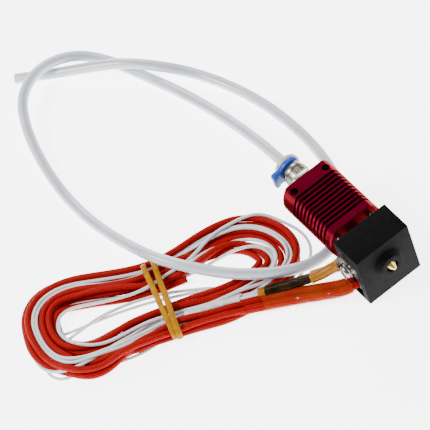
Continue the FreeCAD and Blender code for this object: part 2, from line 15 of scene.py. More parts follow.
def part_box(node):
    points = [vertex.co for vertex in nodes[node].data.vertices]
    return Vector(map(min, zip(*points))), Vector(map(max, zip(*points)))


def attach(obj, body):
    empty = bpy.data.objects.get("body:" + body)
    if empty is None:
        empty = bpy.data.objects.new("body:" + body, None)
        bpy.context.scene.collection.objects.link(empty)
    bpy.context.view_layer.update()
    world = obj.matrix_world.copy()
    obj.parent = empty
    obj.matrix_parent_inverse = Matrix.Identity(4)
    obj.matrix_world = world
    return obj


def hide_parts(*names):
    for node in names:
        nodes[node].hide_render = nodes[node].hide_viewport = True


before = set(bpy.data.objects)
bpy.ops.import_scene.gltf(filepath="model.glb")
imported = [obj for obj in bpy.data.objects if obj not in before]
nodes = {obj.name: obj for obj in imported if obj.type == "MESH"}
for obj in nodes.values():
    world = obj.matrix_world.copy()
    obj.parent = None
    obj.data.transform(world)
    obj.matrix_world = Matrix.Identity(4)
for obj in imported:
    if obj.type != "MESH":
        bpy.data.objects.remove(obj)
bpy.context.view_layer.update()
MM = 0.001
AXIS = Vector((-1.05, -18.1, 14.4)) * MM  # the filament axis, at the heatsink's open end
ORIGIN = Vector((0, 0, 0))

# %% [markdown]
# The camera comes first, because the cords are judged through it. A long lens from far away keeps
# parallel edges parallel. Its three axes are written as columns of one matrix, which is surer than
# three turning angles when the camera is also rolled.
# %% The camera
LENS, SENSOR = 293.02, 36.0
CAMERA_PLACE = Vector((0.26659, 0.66955, 0.96967))
CAMERA_RIGHT = Vector((-0.7799867, 0.5807464, -0.2331401))
CAMERA_UP = Vector((-0.5942718, -0.5706217, 0.5667733))
CAMERA_BACK = Vector((0.1961167, 0.5806242, 0.7901985))


def add_piece(name, data):
    """A new object at the origin, in the scene."""
    piece = bpy.data.objects.new(name, data)
    bpy.context.collection.objects.link(piece)
    return piece


camera_data = bpy.data.cameras.new("camera")
camera_data.lens, camera_data.sensor_width = LENS, SENSOR
camera_data.clip_start, camera_data.clip_end = 0.05, 20.0
camera = add_piece("camera", camera_data)
camera.matrix_world = Matrix.Translation(CAMERA_PLACE) @ Matrix(
    (CAMERA_RIGHT, CAMERA_UP, CAMERA_BACK)).transposed().to_4x4()
bpy.context.scene.camera = camera
print("camera", round(CAMERA_PLACE.length, 3), "m from the frame's origin")

# %% [markdown]
# A cord is a fixed length of something flexible. Its line is one NURBS spline through control
# points, and Blender itself turns that spline into points: everything that follows a cord,
# such as its skin, a sleeve or a wrap, reads those points.
# %% Reading a route's own points
SAME_POINT = 1e-7  # metres between points that count as one


def route_line(points, per_run):
    """The points of a smooth spline that the control points steer, in order."""
    curve = bpy.data.curves.new("route", "CURVE")
    curve.dimensions = "3D"
    spline = curve.splines.new("NURBS")
    spline.points.add(len(points) - 1)
    for control, place in zip(spline.points, points):
        control.co = (*place, 1.0)
    spline.order_u = 3
    spline.use_endpoint_u = True
    spline.resolution_u = per_run
    holder = add_piece("route", curve)
    mesh = bpy.data.meshes.new_from_object(holder)
    line = np.array([vertex.co[:] for vertex in mesh.vertices])
    bpy.data.objects.remove(holder)
    bpy.data.meshes.remove(mesh)
    steps = np.linalg.norm(np.diff(line, axis=0), axis=1)
    return line[np.concatenate([[True], steps > SAME_POINT])]


def lengths_along(line):
    return np.concatenate([[0.0], np.cumsum(np.linalg.norm(np.diff(line, axis=0), axis=1))])


def at_length(line, where):
    """The places on a line at these lengths from its start."""
    along = lengths_along(line)
    return np.stack([np.interp(where, along, line[:, k]) for k in range(3)], axis=-1)


print("points of a route nearer than", SAME_POINT, "m count as one")

# %% [markdown]
# The tube that guides the plastic wire is stiff and springy, so it lies in long bows: out of the
# fitting, round the back, over the hank of leads and once more across itself.
# %% The tube's route
TUBE_ROUTE = [
    (-0.00105, -0.0312, 0.0144), (-0.001, -0.0434, 0.0136), (-0.0006, -0.058, 0.0104),
    (0.0004, -0.075, 0.0063), (0.0032, -0.0938, 0.0031), (0.008, -0.111, 0.0021),
    (0.0134, -0.1266, 0.003), (0.0224, -0.136, 0.0062), (0.0357, -0.1383, 0.0082),
    (0.0476, -0.132, 0.008), (0.0539, -0.1201, 0.0058), (0.0577, -0.1061, 0.0032),
    (0.0598, -0.0912, 0.0022), (0.0602, -0.0762, 0.0028), (0.0592, -0.0612, 0.0054),
    (0.0572, -0.0465, 0.0092), (0.0536, -0.034, 0.0105), (0.0472, -0.0233, 0.0099),
    (0.0388, -0.0126, 0.0082), (0.0285, -0.0036, 0.0068), (0.0174, 0.0016, 0.0046),
    (0.0056, 0.001, 0.0026), (-0.0054, -0.006, 0.0022), (-0.0128, -0.0185, 0.0021),
    (-0.0162, -0.0335, 0.0021), (-0.017, -0.0505, 0.0021), (-0.0154, -0.068, 0.0021),
    (-0.011, -0.085, 0.0022), (-0.0044, -0.099, 0.0034), (0.004, -0.1086, 0.0066),
    (0.01175, -0.1171, 0.0077), (0.0207, -0.1265, 0.0052), (0.0315, -0.1369, 0.0022),
    (0.0425, -0.1455, 0.0021),
]
PER_CONTROL = 12  # points of a line for each control point
tube_line = route_line(TUBE_ROUTE, PER_CONTROL)
print("tube", round(lengths_along(tube_line)[-1], 4), "m in", len(tube_line), "points")

# %% [markdown]
# The four leads leave the hot block and are wound into a hank that a pair of rubber bands pinches.
# Their first stretch, from the block to the hank, is listed point by point, in metres.
# %% The leads' first stretch
LEAD_INS = {
    "heater_lead_1": [
        (0.00925, 0.02045, 0.0051), (0.0136, 0.0202, 0.0049), (0.0216, 0.0139, 0.0039),
        (0.0316, 0.0062, 0.003), (0.043, -0.0014, 0.0026)],
    "heater_lead_2": [
        (0.00925, 0.01775, 0.0051), (0.0122, 0.0173, 0.0049), (0.0194, 0.0113, 0.0039),
        (0.0294, 0.0036, 0.003), (0.0408, -0.004, 0.0026)],
    "thermistor_lead_1": [
        (0.00935, 0.0141, 0.0119), (0.0109, 0.0126, 0.0102), (0.0166, 0.0099, 0.0076),
        (0.0234, 0.006, 0.0059), (0.0328, 0.0006, 0.005), (0.0414, -0.0060, 0.0044)],
    "thermistor_lead_2": [
        (0.00935, 0.0141, 0.0099), (0.0105, 0.012, 0.0086), (0.0159, 0.0086, 0.0063),
        (0.0226, 0.0045, 0.0049), (0.032, -0.0009, 0.0044), (0.0404, -0.0074, 0.004)],
}
print(len(LEAD_INS), "leads leave the block")

# %% [markdown]
# The turns could be drawn by hand as well, but four leads with three turns each would never lie on
# each other rightly. So the hank gets one outline, a smooth closed line, and each turn is given as
# lanes: how far inside the outline the lead lies, and how high, at six stations round it.
# %% The hank's outline
OUTLINE = [
    (0.0348, -0.0386), (0.0215, -0.0347), (0.0122, -0.0268), (0.0074, -0.0110), (0.0140, 0.0002),
    (0.027, 0.002), (0.046, -0.0006), (0.065, -0.0096), (0.084, -0.0152), (0.098, -0.0185),
    (0.1085, -0.035), (0.1035, -0.054), (0.094, -0.0615), (0.082, -0.0595), (0.068, -0.049),
    (0.056, -0.0418), (0.045, -0.0394),
]
OUTLINE_COUNT, PER_CORNER = 720, 40  # even points in all, and fine points to a corner
LEAD_IN_CORNER = 6  # where the leads join the hank
SLOPE_REACH = 6  # points either way that give the outline's direction


def outline_points(corners):
    """Evenly spaced points on a smooth closed line through the corners, from the lead-in on."""
    corner = np.array(corners)
    before, after, beyond = (np.roll(corner, shift, axis=0) for shift in (1, -1, -2))
    share = np.linspace(0.0, 1.0, PER_CORNER, endpoint=False)[None, :, None]
    p0, p1, p2, p3 = (c[:, None, :] for c in (before, corner, after, beyond))
    smooth = 0.5 * (2 * p1 + (p2 - p0) * share + (2 * p0 - 5 * p1 + 4 * p2 - p3) * share ** 2
                    + (3 * p1 - p0 - 3 * p2 + p3) * share ** 3)
    loop = smooth.reshape(-1, 2)
    loop = np.vstack([loop, loop[:1]])
    along = np.concatenate([[0.0], np.cumsum(np.linalg.norm(np.diff(loop, axis=0), axis=1))])
    even = np.linspace(0.0, along[-1], OUTLINE_COUNT, endpoint=False)
    points = np.stack([np.interp(even, along, loop[:, k]) for k in range(2)], axis=1)
    start = np.argmin(np.linalg.norm(points - np.array(corners[LEAD_IN_CORNER]), axis=1))
    return np.roll(points, -start, axis=0), along[-1]


outline, perimeter = outline_points(OUTLINE)
outline_run = np.roll(outline, -SLOPE_REACH, axis=0) - np.roll(outline, SLOPE_REACH, axis=0)
outline_run /= np.linalg.norm(outline_run, axis=1)[:, None]
inward = np.stack([outline_run[:, 1], -outline_run[:, 0]], axis=1)
if ((outline.mean(axis=0) - outline) * inward).sum(axis=1).mean() < 0:
    inward = -inward
print("one turn at the outline is", round(perimeter, 4), "m")

# %% [markdown]
# The lanes and heights below are in millimetres, six stations to a turn. The two heater leads are
# thick, so they set the layers: one on the surface, one on top of it. The thin sensor leads lie in
# the valleys between them, and their last stretch leaves the hank and crosses its opening.
# %% The lanes of the turns
STATION_PLACES = [(0.062, -0.0088), (0.110, -0.038), (0.057, -0.0425),
                  (0.0235, -0.035), (0.0074, -0.0110), (0.027, 0.002)]
STATIONS = [np.argmin(np.linalg.norm(outline - np.array(place), axis=1)) / OUTLINE_COUNT
            for place in STATION_PLACES]
RED_RADIUS, WHITE_RADIUS = 1.2, 0.6
TURNS = {
    "heater_lead_1": (
        [1.6, 2.4, 1.3, 1.4, 5.8, 3.6, 3.8, 3.8, 3.8, 4.5, 10.0, 6.0, 11.6, 9.7, 8.7, 11.0, 17.0,
         13.0, 11.4, 8.8, 8.8],
        [3.6, 3.7, 3.7, 3.7, 3.6, 3.2, 1.3, 1.3, 1.3, 1.3, 1.3, 1.3, 3.8, 3.8, 3.8, 3.4, 1.6, 1.6,
         1.3, 1.3, 1.3],
        [(47.0, -32.5, 1.4)]),
    "heater_lead_2": (
        [4.0, 1.3, 1.3, 1.5, 6.5, 3.0, 1.3, 7.3, 6.2, 6.5, 11.5, 8.5, 6.4, 6.3, 6.3, 12.0, 20.5,
         14.5, 14.0, 11.2, 11.2],
        [3.5, 1.3, 1.3, 1.3, 1.3, 1.3, 1.3, 3.7, 3.7, 3.6, 3.6, 3.4, 1.3, 1.3, 1.3, 1.3, 1.3, 3.4,
         1.3, 1.3, 1.3],
        [(49.0, -29.0, 1.4)]),
    "thermistor_lead_1": (
        [5.9, 4.3, 3.1, 3.4, 7.8, 5.5, 8.5, 11.6, 10.6, 2.4, 0.7, 2.0, 8.6, 12.0, 8.4, 9.6, 14.5,
         11.0, 4.5],
        [4.2, 4.6, 4.4, 4.4, 4.2, 3.8, 4.4, 4.6, 4.6, 4.9, 2.0, 0.8, 0.8, 0.8, 0.8, 0.8, 4.2, 3.6,
         0.8],
        [(84.0, -17.0, 0.8), (95.0, -22.5, 0.8), (101.5, -29.2, 0.8), (105.1, -32.7, 0.8),
         (106.7, -37.2, 0.8), (106.4, -42.7, 0.8), (103.7, -45.3, 0.8), (99.8, -44.2, 0.9),
         (95.7, -39.9, 1.2), (87.0, -37.7, 1.6), (77.4, -35.5, 2.2), (67.5, -30.6, 3.0),
         (59.2, -26.8, 3.0), (52.1, -21.6, 2.6), (46.8, -18.0, 2.6)]),
    "thermistor_lead_2": (
        [7.1, 5.5, 4.3, 4.6, 9.0, 6.7, 9.8, 0.8, 9.6, 8.4, 12.8, 10.0, 9.8, 8.2, 9.8, 13.0, 14.8,
         11.6, 5.5],
        [4.2, 4.6, 4.4, 4.4, 4.2, 3.8, 4.4, 1.4, 0.8, 4.2, 4.2, 3.8, 0.8, 0.8, 0.8, 4.2, 3.0, 2.4,
         0.8],
        [(84.0, -18.5, 0.7), (93.0, -22.5, 0.7), (99.8, -25.7, 0.7), (103.9, -27.4, 0.7),
         (106.4, -30.5, 0.7), (106.8, -34.3, 0.7), (104.2, -36.9, 0.7), (99.2, -38.3, 0.8),
         (94.0, -38.5, 1.4), (84.9, -37.3, 2.2), (74.6, -35.7, 3.4), (65.2, -33.2, 4.0),
         (57.9, -28.1, 4.0), (51.1, -22.6, 3.6), (44.9, -17.9, 3.2)]),
}
print("stations to a turn:", len(STATIONS))

# %% [markdown]
# Between two stations a lead changes lane along a smooth cubic, with a little waviness, because no
# hand winds perfectly. The waves are random but seeded, so every run gives the same plan.
# %% The planned turns
POINTS_PER_TURN = 24
STEP = 2.5  # millimetres between the turns' points
WAVE_HEIGHT, WAVE_SHARE = 0.35, 0.6  # how far hand winding wanders from its lane
WAVE_RATES, FADE_IN, SEED = (0.7, 1.3, 2.2), 0.2, 5


def smooth_through(values, where, wanted):
    """A cubic line through the values at the stations, with gentle slopes."""
    values, where = np.array(values), np.array(where)
    slope = np.gradient(values, where)
    i = np.clip(np.searchsorted(where, wanted, side="right") - 1, 0, len(where) - 2)
    gap = where[i + 1] - where[i]
    t = (wanted - where[i]) / gap
    return ((2 * t ** 3 - 3 * t ** 2 + 1) * values[i] + (t ** 3 - 2 * t ** 2 + t) * gap * slope[i]
            + (3 * t ** 2 - 2 * t ** 3) * values[i + 1] + (t ** 3 - t ** 2) * gap * slope[i + 1])


def even_points(line, step):
    total = lengths_along(line)[-1]
    return at_length(line, np.linspace(0.0, total, int(round(total / step)) + 1))


def planned_turns():
    """Every lead's planned line, in millimetres, with a little unevenness as hand winding has."""
    draw = np.random.default_rng(SEED)
    plans = []
    for name, (lanes, heights, tail) in TURNS.items():
        where = [STATIONS[i % len(STATIONS)] + i // len(STATIONS) for i in range(len(lanes))]
        turn = np.arange(where[0], where[-1], 1 / POINTS_PER_TURN)
        uneven = sum(draw.normal(0, WAVE_HEIGHT) * np.sin(2 * np.pi * (rate * turn + draw.random()))
                     for rate in WAVE_RATES)
        fade = np.sin(np.pi * np.clip((turn - where[0]) / FADE_IN, 0, 0.5))
        lane = smooth_through(lanes, where, turn) + WAVE_SHARE * uneven * fade
        index = np.round((turn % 1) * OUTLINE_COUNT).astype(int) % OUTLINE_COUNT
        flat = outline[index] / MM + inward[index] * lane[:, None]
        turns = np.column_stack([flat, smooth_through(heights, where, turn)])
        control = np.vstack([np.array(LEAD_INS[name]) / MM, turns, tail])
        plans.append(even_points(route_line(control, PER_CONTROL), STEP))
    return plans


plans = planned_turns()
print("planned leads", [round((len(plan) - 1) * STEP) for plan in plans], "mm")

# %% [markdown]
# Then the leads settle, as soft cords do when they are pressed together. First come the points that
# lie in each other: they are pushed apart, but only across the lead, so that no point creeps along
# it. A physics simulation of 3 m of wire would be slow and could end differently each time.
# %% Pushing the leads apart
NEAR, SAME_LEAD_GAP = 4.5, 5  # millimetres, and points along one lead
SPARE, ALONG_REACH = 1.02, 0.75
TOO_SHORT, NO_WAY = 1e-6, 0.05


def near_pairs(point, lead, order):
    gap = np.linalg.norm(point[:, None] - point[None], axis=2)
    a, b = np.where(gap < NEAR)
    keep = (a < b) & ~((lead[a] == lead[b]) & (np.abs(order[a] - order[b]) < SAME_LEAD_GAP))
    return a[keep], b[keep]


def pushed_apart(point, radius, pairs, inner):
    """How far each point moves so that the leads that lie in each other come apart."""
    a, b = pairs
    run = np.zeros_like(point)
    run[1:-1] = point[2:] - point[:-2]
    run[~inner] = 0
    run /= np.maximum(np.linalg.norm(run, axis=1), 1e-9)[:, None]
    gap = point[a] - point[b]
    along = (gap * run[b]).sum(axis=1)
    across = gap - along[:, None] * run[b]
    distance = np.linalg.norm(across, axis=1)
    need = (radius[a] + radius[b]) * SPARE
    hit = (np.abs(along) < STEP * ALONG_REACH) & (distance < need)
    way = across[hit] / np.maximum(distance[hit], TOO_SHORT)[:, None]
    way = np.where((distance[hit] < NO_WAY)[:, None], np.array([0.0, 0.0, 1.0]), way)
    amount = ((need - distance)[hit] * 0.5)[:, None] * way
    push, met = np.zeros_like(point), np.zeros(len(point))
    np.add.at(push, a[hit], amount)
    np.add.at(push, b[hit], -amount)
    np.add.at(met, np.concatenate([a[hit], b[hit]]), 1)
    return push / np.maximum(met, 1)[:, None]


print("leads push each other when their points are nearer than", NEAR, "mm")

# %% [markdown]
# A real lead is stiff enough to have no sudden bends. The bend at a point is compared with the bends
# beside it, and the point moves to even them out. That keeps a curve, which pulling the points
# straight would not.
# %% Evening out the bends


def unevenness(point, inner):
    """How far the bend at each point differs from the bends beside it."""
    bend, rough = np.zeros_like(point), np.zeros_like(point)
    bend[1:-1] = (point[2:] + point[:-2]) / 2 - point[1:-1]
    bend[~inner] = 0
    rough[1:-1] = (bend[2:] + bend[:-2]) / 2 - bend[1:-1]
    rough[~inner] = 0
    return rough


straight = np.linspace((0.0, 0.0, 0.0), (4.0, 0.0, 0.0), 5)
print("a straight line moves by", float(unevenness(straight, np.ones(5, bool)).max()), "mm")

# %% [markdown]
# Each step pushes, evens out, pulls a little towards the plan, sinks the leads and holds them over
# the surface and inside the outline. The last steps do all of this more gently. It takes seconds
# and always gives the same hank.
# %% Settling the hank
SETTLE_STEPS, LATE_STEPS, PAIR_REFRESH, EDGE_REFRESH, EDGE_SKIP = 300, 60, 12, 6, 4
EARLY, LATE = (0.5, 1.0, 0.03), (0.25, 0.15, 0.01)  # evening out, pull to the plan, sinking
PLAN_PULL = np.array([0.03, 0.03, 0.01])
THICK_SHARE, PUSH = 0.6, 1.2
HAND_MARGIN, LEAD_IN_LENGTH, TAIL_POINTS = 3, 70, 62
PRESSED, FLOOR_GAP = 0.9, 0.02
LOW_LEFT, LOW_TOP, HIGH_TOP = 50.0, 4.8, 6.9  # the hank is lower on the side of the heatsink
TOO_DEEP = 0.3


def settle(plans):
    radii = [RED_RADIUS, RED_RADIUS, WHITE_RADIUS, WHITE_RADIUS]
    point = np.vstack(plans)
    radius = np.concatenate([np.full(len(p), r) for p, r in zip(plans, radii)])
    lead = np.concatenate([np.full(len(p), k) for k, p in enumerate(plans)])
    order = np.concatenate([np.arange(len(p)) for p in plans])
    last = np.concatenate([np.full(len(p), len(p) - 1) for p in plans])
    placed = np.zeros(len(point), bool)
    for k, name in enumerate(TURNS):
        by_hand = lengths_along(np.array(LEAD_INS[name]))[-1] / MM
        placed |= (lead == k) & (order * STEP < by_hand - HAND_MARGIN)
    free = (~placed)[:, None].astype(float)
    in_tail = (radius < 1) & (order > last - TAIL_POINTS)
    kept_in = (~placed) & (order * STEP >= LEAD_IN_LENGTH) & ~in_tail
    inner = (order > 0) & (order < last)
    top = np.where(point[:, 0] < LOW_LEFT, LOW_TOP, HIGH_TOP)
    plan, edge = point.copy(), outline / MM
    for count in range(SETTLE_STEPS):
        evening, pull, sinking = LATE if count > SETTLE_STEPS - LATE_STEPS else EARLY
        if count % PAIR_REFRESH == 0:
            pairs = near_pairs(point, lead, order)
        push = pushed_apart(point, radius, pairs, inner)
        point = point + push * np.where(radius > 1, THICK_SHARE, 1.0)[:, None] * PUSH * free
        point = point - evening * unevenness(point, inner) * free
        point = point + (plan - point) * (PLAN_PULL * pull) * free
        point[:, 2] -= sinking * free[:, 0]
        if count % EDGE_REFRESH == 0:
            away = np.linalg.norm(point[:, None, :2] - edge[None, ::EDGE_SKIP], axis=2)
            near = np.argmin(away, axis=1) * EDGE_SKIP
        depth = ((point[:, :2] - edge[near]) * inward[near]).sum(axis=1)
        over = np.maximum(radius * PRESSED - depth, 0) * kept_in
        point[:, :2] += inward[near] * over[:, None] * 0.5
        lowest = radius + FLOOR_GAP
        height = np.clip(point[:, 2], lowest, np.maximum(top - radius * PRESSED, lowest))
        point[:, 2] = np.where(placed, point[:, 2], height)
    a, b = near_pairs(point, lead, order)
    depth = np.maximum(radius[a] + radius[b] - np.linalg.norm(point[a] - point[b], axis=1), 0)
    print("settled; the deepest touch is", round(depth.max(), 2), "mm, and",
          int((depth > TOO_DEEP).sum()), "are over", TOO_DEEP, "mm")
    return [point[lead == k][~placed[lead == k]] for k in range(len(plans))]


settled = settle(plans)

# %% [markdown]
# The settled points steer one spline for each lead, after the points that were placed by hand. So
# each lead is one smooth line from the hot block to its far end.
# %% The leads' own lines
PER_SETTLED, SKIPPED = 5, 3  # the turns start a few points after the placed ones
lead_lines = {}
for (name, first), turns in zip(LEAD_INS.items(), settled):
    lead_lines[name] = route_line([*first[:-1], *(turns[SKIPPED:] * MM)], PER_SETTLED)
    print(name, "is", round(lengths_along(lead_lines[name])[-1], 3), "m long")

# %% [markdown]
# A finish is a small net of nodes. Written as Python sums it reads like the formula it is: one class
# wraps a socket, so that + - and * add Math nodes, also with a plain number in front.
# %% A pen for sums
class Wire:
    """One output of a finish's net, for sums."""

    def __init__(self, finish, socket):
        self.finish, self.socket = finish, socket

    def maths(self, operation, *values):
        return self.finish.node("ShaderNodeMath", {"operation": operation}, dict(enumerate(values)))

    def __add__(self, other):
        return self.maths("ADD", self, other)

    def __radd__(self, other):
        return self.maths("ADD", other, self)

    def __sub__(self, other):
        return self.maths("SUBTRACT", self, other)

    def __rsub__(self, other):
        return self.maths("SUBTRACT", other, self)

    def __mul__(self, other):
        return self.maths("MULTIPLY", self, other)

    def __rmul__(self, other):
        return self.maths("MULTIPLY", other, self)

    def sine(self):
        return self.maths("SINE", self)


print("a finish's sums use", sum(word.startswith("__r") for word in vars(Wire)), "reflected forms")

# %% [markdown]
# One method adds any other node: its type, its settings, which come first, and what its sockets
# get. What is the same all over a finish is set on the main shader's own sockets, and what varies
# is linked to colour, roughness or relief.
# %% A finish and its nodes
finishes = {}


class Finish:
    """A named material with one main shader."""

    def __init__(self, name, **constants):
        self.material = bpy.data.materials.new(name)
        self.material.use_nodes = True
        self.tree = self.material.node_tree
        self.shader = self.tree.nodes["Principled BSDF"]
        for socket, value in constants.items():
            self.shader.inputs[socket.replace("_", " ")].default_value = value
        finishes[name] = self

    def node(self, kind, settings, sockets, output=0):
        """Any node: its type, its settings or stops, its inputs, and the output to go on from."""
        node = self.tree.nodes.new(kind)
        for key, value in settings.items():
            if key == "stops":
                ramp = node.color_ramp.elements
                while len(ramp) < len(value):
                    ramp.new(0.5)
                for stop, (place, colour) in zip(ramp, value):
                    stop.position, stop.color = place, colour
            else:
                setattr(node, key, value)
        for key, value in sockets.items():
            self.put(node.inputs[key], value)
        return Wire(self, node.outputs[output])

    def put(self, socket, value):
        if isinstance(value, Wire):
            self.tree.links.new(value.socket, socket)
        else:
            socket.default_value = value

    def place(self, kind="Object"):
        return self.node("ShaderNodeTexCoord", {}, {}, kind)

    def noise(self, scale, detail=4.0, where=None):
        where = where or self.place()
        return self.node("ShaderNodeTexNoise", {},
                         {"Vector": where, "Scale": scale, "Detail": detail})

    def along_and_round(self):
        """A cord's own map: millimetres along it, and the share of a turn round it."""
        turn = self.node("ShaderNodeSeparateXYZ", {}, {0: self.place("UV")})
        return Wire(self, turn.socket.node.outputs[1]), turn

    def stretched(self, scales):
        return self.node("ShaderNodeMapping", {}, {"Vector": self.place(), "Scale": scales})

    def colours(self, value, low, high, at=(0.35, 0.65)):
        stops = [(at[0], (*low, 1.0)), (at[1], (*high, 1.0))]
        ramp = self.node("ShaderNodeValToRGB", {"stops": stops}, {0: value})
        self.put(self.shader.inputs["Base Color"], ramp)
        return self

    def rough(self, value):
        self.put(self.shader.inputs["Roughness"], value)
        return self

    def relief(self, height, depth, strength=1.0):
        self.put(self.shader.inputs["Normal"], self.node(
            "ShaderNodeBump", {}, {"Height": height, "Distance": depth, "Strength": strength}))
        return self


def whole_turns(share, count):
    """An angle that comes back to itself after one turn of a cord's map."""
    return share * (2 * math.pi * count)


print("a finish starts with one main shader")

# %% [markdown]
# Dyed anodising is a clear coloured skin over bright metal, so it is metallic, with a faint mottle.
# Nickel and steel differ in warmth and in how fine their turning marks are.
# %% Metals
red = Finish("anodised", Metallic=0.97, Coat_Weight=0.05, Coat_Roughness=0.2,
             Specular_Tint=(0.55, 0.06, 0.14, 1.0))
red.colours(red.noise(160.0), (0.105, 0.0005, 0.0120), (0.140, 0.0008, 0.0160))
red.rough(0.27 + 0.06 * red.noise(900.0, 2.0))
red.relief(red.noise(1.0, 3.0, red.stretched((300.0, 9000.0, 300.0))), 0.000004, 0.2)


def metal(name, low, high, roughness, marks, metallic=1.0):
    """A bright metal with patches of shade and fine marks along the turning."""
    finish = Finish(name, Metallic=metallic)
    finish.colours(finish.noise(350.0), low, high)
    finish.rough(roughness + 0.14 * finish.noise(1800.0, 3.0))
    finish.relief(finish.noise(1.0, 3.0, finish.stretched(marks)), 0.00001, 0.4)


metal("nickel", (0.30, 0.275, 0.23), (0.42, 0.39, 0.33), 0.20, (900.0, 9000.0, 900.0))
metal("steel", (0.26, 0.25, 0.24), (0.38, 0.37, 0.35), 0.18, (9000.0, 900.0, 2500.0))
metal("brass", (0.62, 0.40, 0.10), (0.80, 0.56, 0.18), 0.22, (900.0, 9000.0, 900.0))
metal("block", (0.26, 0.26, 0.26), (0.36, 0.36, 0.37), 0.36, (9000.0, 900.0, 900.0), 0.85)
print("metals:", ", ".join(finishes))

# %% [markdown]
# The sock is matt silicone with fine grains of dust, the clip and the collet are moulded plastic,
# and the tube is milky plastic with faint streaks along it, through which some light passes.
# %% Rubber and plastics
sock_finish = Finish("silicone", Specular_IOR_Level=0.05)
grain = sock_finish.noise(9000.0, 2.0)
sock_finish.colours(sock_finish.noise(300.0) * 0.6 + grain * 0.4,
                    (0.0014, 0.0014, 0.0016), (0.0032, 0.0032, 0.0036))
sock_finish.rough(0.55 + 0.25 * sock_finish.noise(700.0)).relief(grain, 0.00003, 0.5)


def plastic(name, low, high, roughness, scale, depth, **constants):
    finish = Finish(name, **constants)
    finish.colours(finish.noise(scale), low, high)
    finish.rough(roughness + 0.12 * finish.noise(scale * 4, 2.0))
    finish.relief(finish.noise(scale * 12, 3.0), depth, 0.4)


plastic("clip", (0.008, 0.055, 0.36), (0.014, 0.075, 0.44), 0.30, 300.0, 0.00001,
        Specular_IOR_Level=0.3, Coat_Weight=0.08)
plastic("collet", (0.36, 0.36, 0.335), (0.44, 0.44, 0.41), 0.36, 300.0, 0.00001,
        Coat_Weight=0.05)
plastic("o_ring", (0.008, 0.008, 0.008), (0.016, 0.016, 0.016), 0.45, 500.0, 0.00002)
plastic("bead", (0.38, 0.16, 0.06), (0.46, 0.21, 0.09), 0.20, 700.0, 0.00001, Coat_Weight=0.6)
plastic("rubber_band", (0.30, 0.120, 0.0001), (0.42, 0.185, 0.0003), 0.40, 500.0, 0.00003,
        Specular_IOR_Level=0.08)
tube_finish = Finish("tube", Subsurface_Weight=0.35, Subsurface_Radius=(0.0015, 0.0016, 0.0018),
                     Coat_Weight=0.35, Coat_Roughness=0.15)
along, turn = tube_finish.along_and_round()
streak = 0.5 + 0.5 * (whole_turns(turn, 5) + 3.0 * (along * 0.02).sine()).sine()
cloud = tube_finish.noise(160.0)
tube_finish.colours(0.45 * streak + 0.55 * cloud, (0.42, 0.45, 0.50), (0.62, 0.65, 0.70), (0.2, 0.8))
tube_finish.rough(0.24 + 0.10 * cloud).relief(streak, 0.00004, 0.5)
print("with rubber and plastics:", len(finishes))

# %% [markdown]
# The heater leads wear a glass-fibre braid, dyed red. A braid is two families of threads that wind
# opposite ways round the lead: each is a sine of turn plus or minus length, and their product gives
# the little spots of a weave. These spots shape the relief and also set the colour, partly as the
# weave's own threads and partly as painted light: a painted highlight on the crests and painted shade
# in the gaps between threads. The sensor leads are white plastic, pressed into fine ribs.
# %% Coverings of the leads


def braid(name, carriers, lay, low, high, depth):
    finish = Finish(name, Specular_IOR_Level=0.08)
    along, turn = finish.along_and_round()
    right = (whole_turns(turn, carriers) + along * lay).sine()
    left = (whole_turns(turn, carriers) - along * lay).sine()
    weave_and_painted_shade = 0.5 + 0.5 * right * left
    # colour from the weave: bright crests are a painted highlight and dark gaps painted shade, over
    # the threads' own red
    finish.colours(weave_and_painted_shade * 0.8 + 0.2 * finish.noise(500.0), low, high, (0.15, 0.75))
    finish.rough(0.62 - 0.15 * weave_and_painted_shade).relief(weave_and_painted_shade, depth, 0.9)


# the dark red is painted shade in the weave's gaps, and the bright red is a painted highlight on its
# crests
braid("red_braid", 6, 5.2, (0.09, 0.0003, 0.0), (0.42, 0.0016, 0.0002), 0.00012)
white = Finish("white_lead", Coat_Weight=0.2, Subsurface_Weight=0.1,
               Subsurface_Radius=(0.0008, 0.0008, 0.0008))
along, turn = white.along_and_round()
ribs = 0.5 + 0.5 * (whole_turns(turn, 7) + along * 0.25).sine()
white.colours(0.5 * ribs + 0.5 * white.noise(400.0),
              (0.56, 0.55, 0.55), (0.82, 0.82, 0.83), (0.1, 0.9))
white.rough(0.38 + 0.10 * ribs).relief(ribs, 0.00008, 0.6)
print("with the leads' coverings:", len(finishes))

# %% [markdown]
# Amber tape is a thin glossy film that lets light through, so its alpha is below one and a clear
# coat keeps its glints sharp. The dark shrink tube under it is the same film over dark rubber.
# %% Films


def film(name, low, high, alpha, roughness, scale, depth=0.0003, coat=0.4, shine=0.25):
    finish = Finish(name, Specular_IOR_Level=shine, Coat_Weight=coat, Coat_Roughness=0.06,
                    Alpha=alpha)
    crease = finish.noise(scale, 5.0)
    finish.colours(crease, low, high).rough(roughness + 0.15 * crease)
    finish.relief(crease, depth, 0.6)


film("film", (0.30, 0.100, 0.0001), (0.40, 0.150, 0.0003), 0.80, 0.22, 130.0, 0.0001, 0.14, 0.12)
film("clear_film", (0.48, 0.050, 0.0003), (0.62, 0.13, 0.0006), 0.11, 0.08, 160.0, 0.0002, 1.0)
film("shrink", (0.006, 0.003, 0.0005), (0.028, 0.012, 0.001), 1.0, 0.22, 300.0, 0.0001, 0.05, 0.06)
film("splice", (0.62, 0.62, 0.61), (0.86, 0.86, 0.86), 0.80, 0.14, 420.0)
film("bare_wire", (0.10, 0.075, 0.05), (0.34, 0.29, 0.24), 1.0, 0.30, 1500.0)
print(len(finishes), "finishes")

# %% [markdown]
# ## Skins for the cords
# A round skin is a ring of points carried along the line without twisting. Each ring is turned only
# as much as the line turns, so that a weave runs straight.
# %% Rings carried along a line


